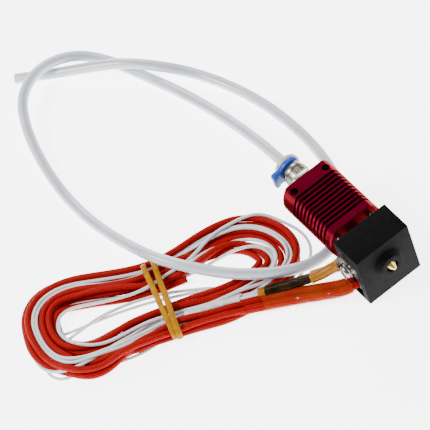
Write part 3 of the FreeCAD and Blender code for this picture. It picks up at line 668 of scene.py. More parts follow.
def carried_frames(line):
    """Two directions square to the line at each of its points, without any twist."""
    run = np.gradient(line, axis=0)
    run /= np.linalg.norm(run, axis=1)[:, None]
    side = np.cross(run[0], (0.0, 0.0, 1.0))
    sides = []
    for direction in run:
        side = side - direction * (side @ direction)
        side /= np.linalg.norm(side)
        sides.append(side)
    sides = np.array(sides)
    return sides, np.cross(run, sides)


def round_rings(line, radius, sides):
    across, up = carried_frames(line)
    angle = np.linspace(0, 2 * np.pi, sides, endpoint=False)
    radius = np.broadcast_to(radius, len(line))[:, None, None]
    return line[:, None] + radius * (across[:, None] * np.cos(angle)[None, :, None]
                                     + up[:, None] * np.sin(angle)[None, :, None])


print("rings are", round_rings(tube_line[:2], MM, 4).shape[1:], "points by axes")

# %% [markdown]
# Almost every made piece is a row of rings: faces join each ring to the next, and the ends are
# capped, or the last ring joins the first. One helper writes those faces for all of them.
# %% Pieces from rings of points


def ring_faces(rows, sides, closed=False, first=0):
    """The faces between rings, and two end caps unless the rings close on themselves."""
    faces = []
    for i in range(rows if closed else rows - 1):
        here, there = first + i * sides, first + (i + 1) % rows * sides
        for j in range(sides):
            k = (j + 1) % sides
            faces.append([here + j, here + k, there + k, there + j])
    if not closed:
        last = first + (rows - 1) * sides
        faces += [list(range(first, first + sides))[::-1], list(range(last, last + sides))]
    return faces


def joined(name, points, faces):
    """A new piece from its points and the faces between them."""
    mesh = bpy.data.meshes.new(name)
    mesh.from_pydata([tuple(point) for point in points], [], faces)
    return add_piece(name, mesh)


def finished(piece, smooth=50.0):
    """Faces outwards, and smooth where neighbouring faces turn less than this many degrees."""
    mesh = piece.data
    net = bmesh.new()
    net.from_mesh(mesh)
    bmesh.ops.recalc_face_normals(net, faces=net.faces)
    net.to_mesh(mesh)
    net.free()
    mesh.shade_smooth()
    mesh.set_sharp_from_angle(angle=math.radians(smooth))
    return piece


print("a box is", len(ring_faces(2, 4)), "faces on two rings of four points")

# %% [markdown]
# A cord's skin also has its own map, for the weave to follow: a share of a turn one way, and
# millimetres the other. A hollow skin has a second shell inside and a rim at each end.
# %% A skin with its own map


def skin(name, rings, along, inner=None):
    """A closed skin through rings of points. With inner rings it is a hollow one."""
    count, sides = rings.shape[:2]
    shells = [rings] if inner is None else [rings, inner]
    faces, maps = [], []

    def face(corners, places, turned_round):
        faces.append(corners[::-1] if turned_round else corners)
        maps.append(places[::-1] if turned_round else places)

    for shell in range(len(shells)):
        for i in range(count - 1):
            here = (shell * count + i) * sides
            for j in range(sides):
                k = (j + 1) % sides
                face([here + j, here + k, here + sides + k, here + sides + j],
                     [(j / sides, along[i]), ((j + 1) / sides, along[i]),
                      ((j + 1) / sides, along[i + 1]), (j / sides, along[i + 1])], shell)
    for i in (0, count - 1):
        ends = [i * sides + j for j in range(sides)]
        if inner is None:
            face(ends, [(0.5, along[i])] * sides, i == 0)
            continue
        for j in range(sides):
            k, other = (j + 1) % sides, count * sides
            face([ends[j], other + ends[j], other + ends[k], ends[k]], [(j / sides, along[i])] * 4, i)
    piece = joined(name, np.concatenate([shell.reshape(-1, 3) for shell in shells]), faces)
    layer = piece.data.uv_layers.new(name="map")
    layer.data.foreach_set("uv", np.array([uv for face in maps for uv in face]).ravel())
    return finished(piece)


def dress(piece, finish, body="root", replaced=()):
    """The finish, the body and the CAD nodes that a piece stands for."""
    piece.data.materials.clear()
    piece.data.materials.append(finishes[finish].material)
    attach(piece, body)
    if replaced:
        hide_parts(*replaced)
    return piece


print("finishes to choose from:", ", ".join(finishes))

# %% [markdown]
# The tube is hollow, with its end cut square. Its skin follows the line read from its route.
# %% The guide tube
TUBE_OUTER, TUBE_INNER, TUBE_SIDES = 0.002, 0.001, 28
tube = skin("bowden_tube_skin", round_rings(tube_line, TUBE_OUTER, TUBE_SIDES),
            lengths_along(tube_line) / MM, round_rings(tube_line, TUBE_INNER, TUBE_SIDES))
dress(tube, "tube", replaced=["bowden_tube"])
print("tube skin has", len(tube.data.polygons), "faces")

# %% [markdown]
# The four leads get the same kind of skin. All four stand for the one CAD solid of the hank.
# %% The leads
RED_SIDES, WHITE_SIDES = 12, 10
for name, line in lead_lines.items():
    heater = name.startswith("heater")
    radius = (RED_RADIUS if heater else WHITE_RADIUS) * MM
    rings = round_rings(line, radius, RED_SIDES if heater else WHITE_SIDES)
    lead = skin(name + "_skin", rings, lengths_along(line) / MM)
    covering = "red_braid" if heater else "white_lead"
    dress(lead, covering, replaced=[name, "lead_hank"])
    2 * radius
    print(name, "skin has", len(lead.data.polygons), "faces")

# %% [markdown]
# Two larger braided sleeves protect the heater leads near the hot block. They are short skins on
# the leads' own lines, a little uneven, with an open end whose rim shows.
# %% The braided sleeves
HEATERS = ("heater_lead_1", "heater_lead_2")
SENSORS = ("thermistor_lead_1", "thermistor_lead_2")
SLEEVE_OUTER, SLEEVE_INNER, SLEEVE_SIDES = 0.00165, 0.00128, 18
SLEEVE_START, SLEEVE_END, SLEEVE_STEP = 0.0025, 0.0405, 0.0008
SWELL, SWELL_RATE = 0.05, 260.0
for name in HEATERS:
    line = at_length(lead_lines[name], np.arange(SLEEVE_START, SLEEVE_END, SLEEVE_STEP))
    swell = np.array([1 + SWELL * noise.noise(Vector(place) * SWELL_RATE) for place in line])
    node = name.replace("lead", "sleeve")
    sleeve = skin(node + "_skin", round_rings(line, SLEEVE_OUTER * swell, SLEEVE_SIDES),
                  lengths_along(line) / MM, round_rings(line, SLEEVE_INNER, SLEEVE_SIDES))
    dress(sleeve, "red_braid", replaced=[node])
    print(node, "is", round(lengths_along(line)[-1] / MM, 1), "mm long")

# %% [markdown]
# Tape and shrink tube are wrapped round two leads at once, so a section is a stadium: two half
# circles and two straight sides. A little noise crumples it, with sharp ridges where it is folded.
# %% Wraps round a pair of leads


WRAP_RINGS, HALF_RING, FLARE_END = 60, 16, 0.35
FINE_SHARE, FINE_RATE, FOLD_LEVEL = 0.5, 2.3, 0.4
LOWEST_OUTER, LOWEST_INNER = 0.0002, 0.0003    # metres over the surface


def wrap(name, pair, spans, radius, crumple, fineness, wall, flare):
    """A thin crumpled shell round two lines, each from its own first length to its own last."""
    share = np.linspace(0, 1, WRAP_RINGS)
    a, b = (at_length(lead_lines[lead], start + (end - start) * share)
            for lead, (start, end) in zip(pair, spans))
    run = np.gradient((a + b) / 2, axis=0)
    run /= np.linalg.norm(run, axis=1)[:, None]
    apart = b - a
    apart -= run * (apart * run).sum(axis=1)[:, None]
    apart /= np.linalg.norm(apart, axis=1)[:, None]
    up = np.cross(run, apart)
    turn = np.linspace(-np.pi / 2, np.pi / 2, HALF_RING)
    turns = np.concatenate([turn, turn + np.pi])
    rings, inner = [], []
    for i in range(WRAP_RINGS):
        wide = radius * (1 + flare * max(0.0, 1 - share[i] / FLARE_END) ** 2)
        outer_ring, inner_ring = [], []
        for j, angle in enumerate(turns):
            centre = b[i] if j < HALF_RING else a[i]
            way = math.cos(angle) * apart[i] + math.sin(angle) * up[i]
            place = Vector((centre + way * wide) * fineness)
            fine = abs(noise.noise(place * FINE_RATE))
            fold = abs(noise.noise(place)) * 2 + FINE_SHARE * fine - FOLD_LEVEL
            out = centre + way * (wide + crumple * fold)
            outer_ring.append(out)
            inner_ring.append(out - way * wall)
        rings.append(outer_ring)
        inner.append(inner_ring)
    rings, inner = np.array(rings), np.array(inner)
    rings[:, :, 2] = np.maximum(rings[:, :, 2], LOWEST_OUTER)
    inner[:, :, 2] = np.maximum(inner[:, :, 2], LOWEST_INNER)
    return skin(name, rings, lengths_along((a + b) / 2) / MM, inner)


print("a wrap has", WRAP_RINGS, "rings of", 2 * HALF_RING, "points")

# %% [markdown]
# There are five: clear amber tape over the heater sleeves, amber tape over the sensor leads, a dark
# shrink tube with a bit of tape behind it, and a white sleeve where the sensor leads are spliced.
# %% The five wraps
# name, leads, first and last length on each, radius, crumple, fineness, wall, flare, then its looks
WRAPS = [
    ("heater_film_wrap", HEATERS, ((0.0020, 0.0335), (0.0020, 0.0325)),
     0.00205, 0.00034, 210.0, 0.00006, 0.0, "clear_film", "film", ["heater_film"]),
    ("thermistor_film_wrap", SENSORS, ((0.0006, 0.0132), (0.0006, 0.0128)),
     0.00185, 0.00026, 150.0, 0.00006, 0.45, "film", "film", ["thermistor_film"]),
    ("thermistor_shrink_wrap", SENSORS, ((0.0118, 0.0300), (0.0114, 0.0295)),
     0.00138, 0.00010, 260.0, 0.0002, 0.0, "shrink", "shrink", ["thermistor_shrink"]),
    ("thermistor_film_tail", SENSORS, ((0.0290, 0.0325), (0.0285, 0.0322)),
     0.00120, 0.00012, 260.0, 0.0001, 0.0, "film", "film", []),
    ("white_splice_sleeve", SENSORS, ((0.0390, 0.0600), (0.0380, 0.0590)),
     0.00095, 0.00016, 300.0, 0.0002, 0.0, "splice", "white_lead", []),
]
for *shape, finish, slot, replaced in WRAPS:
    dress(wrap(*shape), finish, replaced=replaced)
print(len(WRAPS), "wraps made")

# %% [markdown]
# The sensor leads end bare: the last millimetres of conductor are twisted strands. Each strand is a
# thin round skin on a line that winds about the lead's own end, and three of them make the twist.
# %% The bare ends
STRANDS, STRAND_SIDES, STRAND_RINGS = 3, 6, 30
STRAND_RADIUS, STRAND_OFF, BARE_LENGTH = 0.00016, 0.00017, 0.0065
TWIST, DROOP, HIDDEN, LOWEST, TIP_REACH = 9.0, 0.0012, 0.0005, 0.0005, 8


def bare_end(name, line):
    """Twisted strands that stick out of the lead's tip and droop a little."""
    tip, run = line[-1], line[-1] - line[-TIP_REACH]
    run = run / np.linalg.norm(run)
    share = np.linspace(0, 1, STRAND_RINGS)
    droop = np.outer(-DROOP * share ** 2, (0.0, 0.0, 1.0))
    core = tip - run * HIDDEN + run * BARE_LENGTH * share[:, None] + droop
    core[:, 2] = np.maximum(core[:, 2], LOWEST)
    across, up = carried_frames(core)
    points, faces = [], []
    for strand in range(STRANDS):
        phase = (2 * np.pi * strand / STRANDS + TWIST * share)[:, None]
        wound = core + STRAND_OFF * (across * np.cos(phase) + up * np.sin(phase))
        faces += ring_faces(STRAND_RINGS, STRAND_SIDES, first=len(points))
        points += round_rings(wound, STRAND_RADIUS, STRAND_SIDES).reshape(-1, 3).tolist()
    return dress(finished(joined(name, points, faces)), "bare_wire")


for name in SENSORS:
    end = bare_end(name.replace("lead", "bare_end"), lead_lines[name])
    print(end.name, "has", len(end.data.polygons), "faces")

# %% [markdown]
# Each rubber band is one loop of flat rubber, pulled tight round the bundle. Its line is a rounded
# oblong with a slight lean, its section a small rounded oblong as well.
# %% The rubber bands


BAND_POINTS, BAND_LOW, BAND_HIGH = 96, 0.00035, 0.0072
BAND_SIDE, BAND_TOP = 0.55, 0.62  # powers under one make an oval squarer
BAND_SAG, SAG_WAVES, SAG_SHIFT, BAND_LEAN = 0.00048, 2.2, 0.4, 0.25
BAND_SECTION = [(-1.0, -0.2), (-0.8, -0.38), (0.8, -0.38), (1.0, -0.2),
                (1.0, 0.2), (0.8, 0.38), (-0.8, 0.38), (-1.0, 0.2)]
BAND_CORNERS = [((58.2, -41.0), (67.3, -9.4)), ((54.6, -39.4), (65.9, -8.3))]


def rubber_band(name, corners, number):
    """A band from one upper corner to the other, over the hank, and back along the surface."""
    a, b = (np.array((*corner, 0.0)) * MM for corner in corners)
    angle = np.linspace(0, 2 * np.pi, BAND_POINTS, endpoint=False)
    cosine, sine = np.cos(angle), np.sin(angle)
    flat = np.sign(cosine) * np.abs(cosine) ** BAND_SIDE
    lift = np.sign(sine) * np.abs(sine) ** BAND_TOP
    line = (a + b) / 2 + flat[:, None] * (b - a) / 2
    line[:, 2] = (BAND_LOW + BAND_HIGH) / 2 + lift * (BAND_HIGH - BAND_LOW) / 2
    wave = np.cos(flat * SAG_WAVES + SAG_SHIFT * number) ** 2
    line[:, 2] -= BAND_SAG * np.clip(lift, 0, 1) * wave
    run = np.roll(line, -1, axis=0) - np.roll(line, 1, axis=0)
    run /= np.linalg.norm(run, axis=1)[:, None]
    wide = np.cross((b - a) / np.linalg.norm(b - a), (0.0, 0.0, 1.0))
    lean = BAND_LEAN * np.sin(angle * 2 + number)[:, None]
    across = wide * np.cos(lean) + np.cross(run, wide) * np.sin(lean)
    out = np.cross(run, across)
    rings = np.stack([line + (across * x + out * y) * MM for x, y in BAND_SECTION], axis=1)
    rings[:, :, 2] = np.maximum(rings[:, :, 2], 0.0)
    faces = ring_faces(BAND_POINTS, len(BAND_SECTION), closed=True)
    return finished(joined(name, rings.reshape(-1, 3), faces), 60.0)


for number, corners in enumerate(BAND_CORNERS):
    node = f"rubber_band_{number + 1}"
    band = rubber_band(node + "_loop", corners, number)
    dress(band, "rubber_band", replaced=[node])
    print(node, "is", round(math.dist(*corners), 1), "mm long inside")

# %% [markdown]
# ## The turned and milled pieces
# The heatsink, the fitting and the screws are turned on a lathe about the filament's axis, so each is
# a profile spun round it. Where two flats are milled on the round bar, the same ring of points is
# simply pressed in to the flat's distance. A profile is a list of station, radius and flat distance.
# %% Turning a profile
FLAT_STEPS = 25  # points along each arc and each flat


def turned(name, profile, sides=96, flat=None, closed=True, centre=AXIS):
    """A ring of points for each profile entry, joined. The stations run along the filament axis."""
    if flat is None:
        angles = np.linspace(0, 2 * np.pi, sides, endpoint=False)
    else:
        corner = math.asin(flat[1] / flat[0])
        arc = np.linspace(-corner, corner, FLAT_STEPS)[:-1]
        level = np.linspace(corner, math.pi - corner, FLAT_STEPS)[:-1]
        angles = np.concatenate([arc, level, arc + math.pi, level + math.pi])
    rings = []
    for station, radius, *limit in profile:
        x, z = radius * np.cos(angles), radius * np.sin(angles)
        if limit:
            z = np.clip(z, -limit[0], limit[0])
        rings.append(np.column_stack([x, np.full(len(angles), station), z]))
    points = np.concatenate(rings) * MM + np.array(centre)
    return finished(joined(name, points, ring_faces(len(profile), len(angles), closed)), 35.0)


print("turned pieces stand", [round(v / MM, 2) for v in AXIS], "mm from the frame's origin")

# %% [markdown]
# Modifiers cut the holes and round the edges. Each is worked into a plain mesh at once, so that a
# piece is only a mesh when it gets its finish and its body.
# %% Cutting and rounding


def worked_in(piece):
    """The piece with its modifiers worked into a plain mesh."""
    bpy.context.view_layer.update()
    view = bpy.context.evaluated_depsgraph_get()
    mesh = bpy.data.meshes.new_from_object(piece.evaluated_get(view))
    piece.modifiers.clear()
    old, piece.data = piece.data, mesh
    bpy.data.meshes.remove(old)
    return piece


def drilled(piece, cutters):
    for cutter in cutters:
        cut = piece.modifiers.new("cut", "BOOLEAN")
        cut.operation, cut.solver, cut.object = "DIFFERENCE", "EXACT", cutter
    worked_in(piece)
    for cutter in cutters:
        bpy.data.objects.remove(cutter)
    return piece


def rounded(piece, width, angle=35.0, segments=2):
    edge = piece.modifiers.new("edge", "BEVEL")
    edge.width, edge.segments, edge.limit_method = width, segments, "ANGLE"
    edge.angle_limit, edge.harden_normals = math.radians(angle), False
    return finished(worked_in(piece), 30.0)


# %% [markdown]
# Ten slots leave nine equal fins between two thick end blocks. The fins repeat, so Geometry Nodes
# place one fin along a line: a count, a pitch and a first station are the tree's inputs. The fin is
# made once, with its chamfers, and the tree ends by making the copies real.
# %% A tree that repeats a piece along a line or round a ring


def repeat_tree(name, on_ring):
    tree = bpy.data.node_groups.new(name, "GeometryNodeTree")
    face, inputs = tree.interface, {}
    face.new_socket("Geometry", in_out="INPUT", socket_type="NodeSocketGeometry")
    for label, kind in (("Piece", "Object"), ("Count", "Int"), ("Start", "Vector"),
                        ("Step", "Vector"), ("Radius", "Float"), ("Finish", "Material")):
        socket = face.new_socket(label, in_out="INPUT", socket_type="NodeSocket" + kind)
        inputs[label] = socket.identifier
    face.new_socket("Geometry", in_out="OUTPUT", socket_type="NodeSocketGeometry")

    def add(kind, links, **settings):
        """A node whose inputs, by name or number, take these outputs."""
        node = tree.nodes.new(kind)
        for key, value in settings.items():
            setattr(node, key, value)
        for key, output in links.items():
            tree.links.new(output, node.inputs[key])
        return node

    given = add("NodeGroupInput", {}).outputs
    source = add("GeometryNodeObjectInfo", {"Object": given["Piece"]})
    places = {"Instance": source.outputs["Geometry"]}
    if on_ring:
        line = add("GeometryNodeMeshCircle", {"Vertices": given["Count"], "Radius": given["Radius"]})
        index = add("GeometryNodeInputIndex", {})
        share = add("ShaderNodeMath", {0: index.outputs[0], 1: given["Count"]}, operation="DIVIDE")
        angle = add("ShaderNodeMath", {0: share.outputs[0]}, operation="MULTIPLY")
        angle.inputs[1].default_value = 2 * math.pi
        places["Rotation"] = add("ShaderNodeCombineXYZ", {"Z": angle.outputs[0]}).outputs[0]
    else:
        line = add("GeometryNodeMeshLine", {"Count": given["Count"], "Start Location": given["Start"],
                                            "Offset": given["Step"]})
    places["Points"] = line.outputs[0]
    copies = add("GeometryNodeInstanceOnPoints", places)
    real = add("GeometryNodeRealizeInstances", {0: copies.outputs[0]})
    both = add("GeometryNodeJoinGeometry", {0: real.outputs[0]})
    tree.links.new(given["Geometry"], both.inputs[0])
    paint = add("GeometryNodeSetMaterial", {"Geometry": both.outputs[0], "Material": given["Finish"]})
    add("NodeGroupOutput", {0: paint.outputs[0]})
    print(name, "takes", ", ".join(inputs))
    return tree, inputs


along_a_line = repeat_tree("copies along a line", False)
round_a_ring = repeat_tree("copies round a ring", True)

# %% [markdown]
# A modifier carries the tree. Its inputs are set by their identifiers before anything is evaluated,
# and the result becomes the piece's own mesh, because only a plain mesh can ride on a body.
# %% Copies worked into a mesh


def repeated(body, piece, tree_and_inputs, **values):
    """The body's mesh joined with copies of the piece, as one plain mesh."""
    tree, inputs = tree_and_inputs
    copier = body.modifiers.new("repeat", "NODES")
    copier.node_group = tree
    for label, value in {"Piece": piece, **values}.items():
        copier[inputs[label]] = value
    worked_in(body)
    bpy.data.objects.remove(piece)
    return body


print("trees:", ", ".join(tree.name for tree in bpy.data.node_groups))

# %% [markdown]
# The heatsink itself is a bar with two flats, its two end blocks joined by a thin core. Its profile
# goes along the outside and comes back through the stepped bore.
# %% The heatsink
ROUND, FLAT, CORE, BORE, THREAD = 11.0, 7.5, 5.6, 2.1, 3.0
LENGTH, FIRST_SLOT, PITCH, SLOT, FINS = 27.5, 6.6, 1.9, 0.95, 9
CHAMFER, FIN_CHAMFER = 0.35, 0.16
BORE_START, BORE_END = 6.0, 20.5
first, last = FIRST_SLOT - SLOT / 2, FIRST_SLOT + FINS * PITCH + SLOT / 2
heatsink = turned("heatsink_finned", [
    (0, ROUND - CHAMFER, FLAT - CHAMFER), (CHAMFER, ROUND, FLAT), (first - FIN_CHAMFER, ROUND, FLAT),
    (first, ROUND - FIN_CHAMFER, FLAT - FIN_CHAMFER), (first, CORE), (last, CORE),
    (last, ROUND - FIN_CHAMFER, FLAT - FIN_CHAMFER), (last + FIN_CHAMFER, ROUND, FLAT),
    (LENGTH - CHAMFER, ROUND, FLAT), (LENGTH, ROUND - CHAMFER, FLAT - CHAMFER),
    (LENGTH, THREAD), (BORE_END, THREAD), (BORE_END, BORE), (BORE_START, BORE),
    (BORE_START, THREAD), (0, THREAD)],
    flat=(ROUND, FLAT))
print("heatsink body turned")

# %% [markdown]
# Two holes for the carriage's screws break through the edges of the flats. They are cut before the
# fins are added, because a cut works on one closed skin.
# %% The screw holes
HOLE_SIDE, HOLE_STATION, HOLE_RADIUS = 7.0, 3.65, 1.45
ROD_HALF, ROD_SIDES = 12.0, 32


def rod(side):
    """An upright rod through the heatsink, to cut a hole with."""
    ring = np.linspace(0, 2 * np.pi, ROD_SIDES, endpoint=False)
    place = Vector((side * HOLE_SIDE, HOLE_STATION, 0)) * MM
    points = [Vector((HOLE_RADIUS * math.cos(a), HOLE_RADIUS * math.sin(a), z)) * MM + AXIS + place
              for z in (-ROD_HALF, ROD_HALF) for a in ring]
    return finished(joined("hole", points, ring_faces(2, ROD_SIDES)))


drilled(heatsink, [rod(side) for side in (-1, 1)])
print("holes", 2 * HOLE_SIDE, "mm apart")

# %% [markdown]
# One fin is turned like the heatsink's body, and reaches a little into the core so that no gap shows.
# The tree sets nine of them along the axis.
# %% The fins
thickness, FIN_FOOT = PITCH - SLOT, CORE - 0.2
fin = turned("fin", [
    (0, FIN_FOOT), (0, ROUND - FIN_CHAMFER, FLAT - FIN_CHAMFER), (FIN_CHAMFER, ROUND, FLAT),
    (thickness - FIN_CHAMFER, ROUND, FLAT), (thickness, ROUND - FIN_CHAMFER, FLAT - FIN_CHAMFER),
    (thickness, FIN_FOOT)], flat=(ROUND, FLAT), centre=ORIGIN)
repeated(heatsink, fin, along_a_line, Count=FINS, Step=Vector((0, PITCH * MM, 0)),
         Start=AXIS + Vector((0, (FIRST_SLOT + SLOT / 2) * MM, 0)),
         Finish=finishes["anodised"].material)
dress(finished(heatsink, 30.0), "anodised", replaced=["heatsink"])
print("heatsink has", len(heatsink.data.polygons), "faces")

# %% [markdown]
# The push-in fitting: a hexagon for the spanner, then a collar with fine pressed ribs next to it and
# a bright rounded front. The ribs are copies of one small bar, set round a ring by the same tree.
# %% The fitting's body
HEX_END, COLLAR_END, COLLAR = -3.2, -9.0, 4.6
fitting = turned("fitting_body_turned", [
    (HEX_END, COLLAR - 0.35), (-3.6, COLLAR - 0.2), (-6.3, COLLAR - 0.2), (-6.45, COLLAR - 0.45),
    (-6.65, COLLAR - 0.45), (-6.8, COLLAR - 0.05), (-7.1, COLLAR), (-7.9, COLLAR),
    (-8.4, COLLAR - 0.12), (-8.75, COLLAR - 0.4), (-8.95, COLLAR - 0.8),
    (COLLAR_END, COLLAR - 1.1), (COLLAR_END, 3.3), (-8.85, 3.15), (-6.1, 3.15), (-6.1, 3.55),
    (-4.6, 3.55), (-4.6, 3.13), (-3.1, 3.13), (-3.1, BORE), (6.0, BORE), (6.0, 2.7), (5.7, 2.98),
    (0.0, 2.98), (0.0, 3.0)], sides=72)
RIBS, RIB_HEIGHT, RIB_HALF, RIB_LENGTH, RIB_FOOT = 36, 0.20, 0.11, 1.25, 1.6
RIB_STATION, RIB_SINK = -4.95, 0.17
HEX_CORNER, HEX_HOLE, HEX_EDGE = 5.773, 3.6, 0.00028
bar_section = ((-RIB_HEIGHT, -RIB_HALF * RIB_FOOT), (RIB_HEIGHT, -RIB_HALF),
               (RIB_HEIGHT, RIB_HALF), (-RIB_HEIGHT, RIB_HALF * RIB_FOOT))
bar = joined("rib", [(x * MM, y * MM, z * MM) for z in (-RIB_LENGTH, RIB_LENGTH)
                     for x, y in bar_section], ring_faces(2, 4))
ring_of_ribs = add_piece("collar_ribs", bpy.data.meshes.new("collar_ribs"))
repeated(ring_of_ribs, bar, round_a_ring, Count=RIBS, Radius=(COLLAR - RIB_SINK) * MM,
         Finish=finishes["nickel"].material)
ring_of_ribs.data.transform(Matrix.Translation(AXIS + Vector((0, RIB_STATION * MM, 0)))
                            @ Matrix.Rotation(math.radians(90), 4, "X"))
hexagon = turned("hexagon", [(0, HEX_CORNER), (HEX_END, HEX_CORNER), (HEX_END, HEX_HOLE),
                             (0, HEX_HOLE)], sides=6)
rounded(hexagon, HEX_EDGE, 30.0)
dress(fitting, "nickel", replaced=["fitting_body"])
dress(finished(ring_of_ribs, 30.0), "nickel")
dress(hexagon, "nickel")
print(RIBS, "ribs on the collar")

# %% [markdown]
# The collet holds the tube with its teeth inside the fitting. Only its flange shows, moulded with
# rounded edges, so the whole collet is one turned profile with small steps at each edge.
# %% The collet
collet = turned("fitting_collet_moulded", [
    (-13.1, 2.35), (-13.1, 4.2), (-13.02, 4.5), (-12.8, 4.72), (-12.5, 4.8), (-11.8, 4.8),
    (-11.45, 4.7), (-11.3, 4.5), (-11.3, 3.0), (-5.8, 3.0), (-5.8, 2.1), (-12.85, 2.1)], sides=64)
dress(collet, "collet", "collet", ["fitting_collet"])
print("collet has", len(collet.data.polygons), "faces")

# %% [markdown]
# The horseshoe clip grips the collet behind its flange. It is a flat outline made thick and rounded
# by a bevel, and its tab has a thicker lip for a fingertip.
# %% The clip


def plate(name, outline, low, high):
    """An outline in the plane across the axis, between two stations."""
    points = [Vector((x, station, z)) * MM + AXIS for station in (low, high) for x, z in outline]
    return finished(joined(name, points, ring_faces(2, len(outline))), 30.0)


CLIP_OUT, CLIP_IN, TAB_HALF, TAB_REACH, TAB_CORNER, TAB_CUT = 4.85, 3.1, 3.1, 7.6, 0.9, 0.3
CLIP_STATIONS, LIP_STATIONS = (-11.26, -9.64), (-11.2, -8.9)
LIP_NEAR, LIP_FAR, LIP_HALF = 5.7, 7.65, 2.9
tab_angle = math.asin(TAB_HALF / CLIP_OUT)
mouth = math.pi - math.asin(CLIP_IN / CLIP_OUT)
upper = [(CLIP_OUT * math.cos(a), CLIP_OUT * math.sin(a)) for a in np.linspace(tab_angle, mouth, 22)]
inside = [(CLIP_IN * math.cos(a), CLIP_IN * math.sin(a)) for a in np.linspace(math.pi / 2, 0, 14)]
half = [(TAB_REACH, 0.0), (TAB_REACH, TAB_HALF - TAB_CORNER),
        (TAB_REACH - TAB_CUT, TAB_HALF - TAB_CUT), (TAB_REACH - TAB_CORNER, TAB_HALF),
        *upper, *inside]
clip_outline = half + [(x, -z) for x, z in half[-2:0:-1]]
clip = plate("fitting_clip_moulded", clip_outline, *CLIP_STATIONS)
rounded(clip, 0.00035, 40.0, 3)
lip_outline = [(LIP_FAR, LIP_HALF), (LIP_FAR, -LIP_HALF), (LIP_NEAR, -LIP_HALF), (LIP_NEAR, LIP_HALF)]
lip = plate("fitting_clip_lip", lip_outline, *LIP_STATIONS)
rounded(lip, 0.0004, 40.0, 3)
dress(clip, "clip", "clip", ["fitting_clip"])
dress(lip, "clip", "clip")
print("the clip reaches", TAB_REACH, "mm from the axis")

# %% [markdown]
# ## Pieces that copy the CAD mesh
# The sock, the block, the nozzle and the cartridge have the right shape already, only with knife
# edges. A copy of the CAD mesh is merged, its flat triangles are joined, and a bevel rounds it.
# %% Rounded copies
ROUNDED = {
    "silicone_sock": (0.00045, "silicone", "silicone", "sock"),
    "heater_block": (0.00018, "block", "block", "root"),
    "heater_cartridge": (0.0003, "steel", "steel", "root"),
    "nozzle": (0.00012, "brass", "brass", "root"),
}
BOSS_RADIUS, BOSS_TOP_RADIUS, BOSS_EDGE, FRONT_DEPTH = 5.8, 4.6, 0.2, 0.0001


def narrow_boss(net):
    """The boss round the nozzle gets narrower towards its front, as moulded rubber does."""
    front = max(vertex.co.y for vertex in net.verts)
    for vertex in net.verts:
        x, z = vertex.co.x - AXIS.x, vertex.co.z - AXIS.z
        at_edge = math.hypot(x, z) > (BOSS_RADIUS - BOSS_EDGE) * MM
        if vertex.co.y > front - FRONT_DEPTH and at_edge:
            share = BOSS_TOP_RADIUS / BOSS_RADIUS
            vertex.co.x, vertex.co.z = AXIS.x + x * share, AXIS.z + z * share


for name, (width, finish, slot, body) in ROUNDED.items():
    copy = add_piece(name + "_rounded", nodes[name].data.copy())
    net = bmesh.new()
    net.from_mesh(copy.data)
    bmesh.ops.remove_doubles(net, verts=net.verts, dist=1e-6)
    bmesh.ops.dissolve_limit(net, angle_limit=math.radians(1.0), verts=net.verts, edges=net.edges)
    if name == "silicone_sock":
        narrow_boss(net)
    net.to_mesh(copy.data)
    net.free()
    rounded(copy, width, segments=3 if name == "silicone_sock" else 2)
    dress(copy, finish, body, [name])
    print(name, "rounded:", len(copy.data.polygons), "faces")

# %% [markdown]
# A pan-head screw and its washer hold the sensor against the block. Both are turned about an axis
# that points sideways, so the profile is spun first and then laid over.
# %% The clamp screw and its washer


def laid_over(piece, box):
    """Turns a piece made about the origin so that its axis points sideways, onto the box's middle."""
    low, high = box
    middle = Vector((low[0], (low[1] + high[1]) / 2, (low[2] + high[2]) / 2))
    piece.data.transform(Matrix.Translation(middle) @ Matrix.Rotation(math.radians(-90), 4, "Z"))
    return piece


washer_box, screw_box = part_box("thermistor_clamp_washer"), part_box("thermistor_clamp_screw")
washer = turned("clamp_washer_turned", [
    (0.0, 1.55), (0.0, 3.05), (0.12, 3.2), (0.48, 3.2), (0.6, 3.05), (0.6, 1.65), (0.5, 1.55)],
    sides=48, centre=ORIGIN)
dress(laid_over(washer, washer_box), "steel", replaced=["thermistor_clamp_washer"])
screw = turned("clamp_screw_turned", [
    (0.0, 1.3), (0.1, 1.5), (5.8, 1.5), (5.8, 2.5), (5.9, 2.6), (6.5, 2.6), (6.95, 2.35),
    (7.25, 1.9), (7.4, 1.2), (7.4, 0.4)], sides=48, closed=False, centre=ORIGIN)
SLOT_LONG, SLOT_THIN, SLOT_LOW, SLOT_HIGH = 1.5, 0.35, 6.4, 8.0
slots = []
for wide, tall in ((SLOT_THIN, SLOT_LONG), (SLOT_LONG, SLOT_THIN)):
    points = [(x * wide * MM, y * MM, z * tall * MM) for y in (SLOT_LOW, SLOT_HIGH)
              for x, z in ((-1, -1), (1, -1), (1, 1), (-1, 1))]
    slots.append(finished(joined("slot", points, ring_faces(2, 4))))
drilled(screw, slots)
laid_over(finished(screw, 30.0), screw_box)
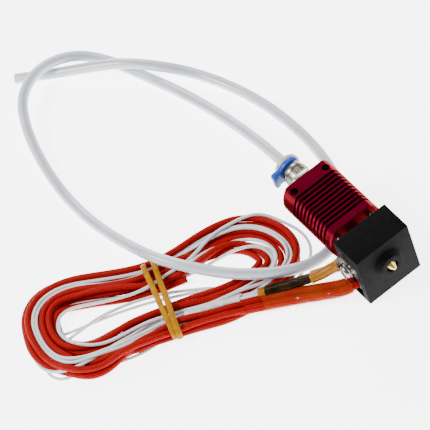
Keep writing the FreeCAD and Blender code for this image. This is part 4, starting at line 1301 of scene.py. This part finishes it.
dress(screw, "steel", replaced=["thermistor_clamp_screw"])
print("screw has", len(screw.data.polygons), "faces")

# %% [markdown]
# The rest keep their CAD mesh, because they hide inside or are seen only as a small flat face.
# %% Finishes for the CAD pieces
KEPT = {
    "ptfe_liner": "collet", "heatbreak": "steel", "cartridge_set_screw": "steel",
    "heatbreak_set_screw": "steel", "block_screws": "steel", "thermistor_bead": "bead",
    "fitting_o_ring": "o_ring", "fitting_grip_ring": "steel",
}
for name, finish in KEPT.items():
    nodes[name].data.materials.clear()
    nodes[name].data.materials.append(finishes[finish].material)
print(len(KEPT), "CAD pieces keep their mesh")

# %% [markdown]
# A pale floor and three soft lamps make the plain studio look: a large key from the left, a wide
# fill from the right and a rim from behind, over an even pale surround.
# %% Floor and light
FLOOR_HALF, FLOOR_LEVEL = 4.0, -0.0001
AIM = Vector((0.03, -0.04, 0.0))
LAMPS = {  # place, size and watts
    "key": ((0.75, -0.35, 0.95), 0.45, 22.0),
    "fill": ((-0.8, 0.55, 0.7), 0.6, 6.0),
    "rim": ((-0.35, -0.9, 0.55), 0.45, 7.0),
}
floor = joined("floor", [(x * FLOOR_HALF, y * FLOOR_HALF, FLOOR_LEVEL)
                         for x, y in ((-1, -1), (1, -1), (1, 1), (-1, 1))], [(0, 1, 2, 3)])
floor.data.materials.append(Finish(
    "floor", Base_Color=(0.95, 0.95, 0.95, 1.0), Roughness=0.8,
    Emission_Color=(1.0, 1.0, 1.0, 1.0), Emission_Strength=4.6).material)
for name, (place, size, watts) in LAMPS.items():
    light = bpy.data.lights.new(name, "AREA")
    light.shape, light.size, light.energy = "SQUARE", size, watts
    lamp = add_piece(name, light)
    lamp.location = place
    lamp.rotation_euler = (AIM - lamp.location).to_track_quat("-Z", "Y").to_euler()
world = bpy.data.worlds.new("surround")
world.use_nodes = True
surround = world.node_tree.nodes["Background"].inputs
surround["Color"].default_value = (1.0, 1.0, 1.0, 1.0)
surround["Strength"].default_value = 0.4
bpy.context.scene.world = world
print(len(LAMPS), "lamps")
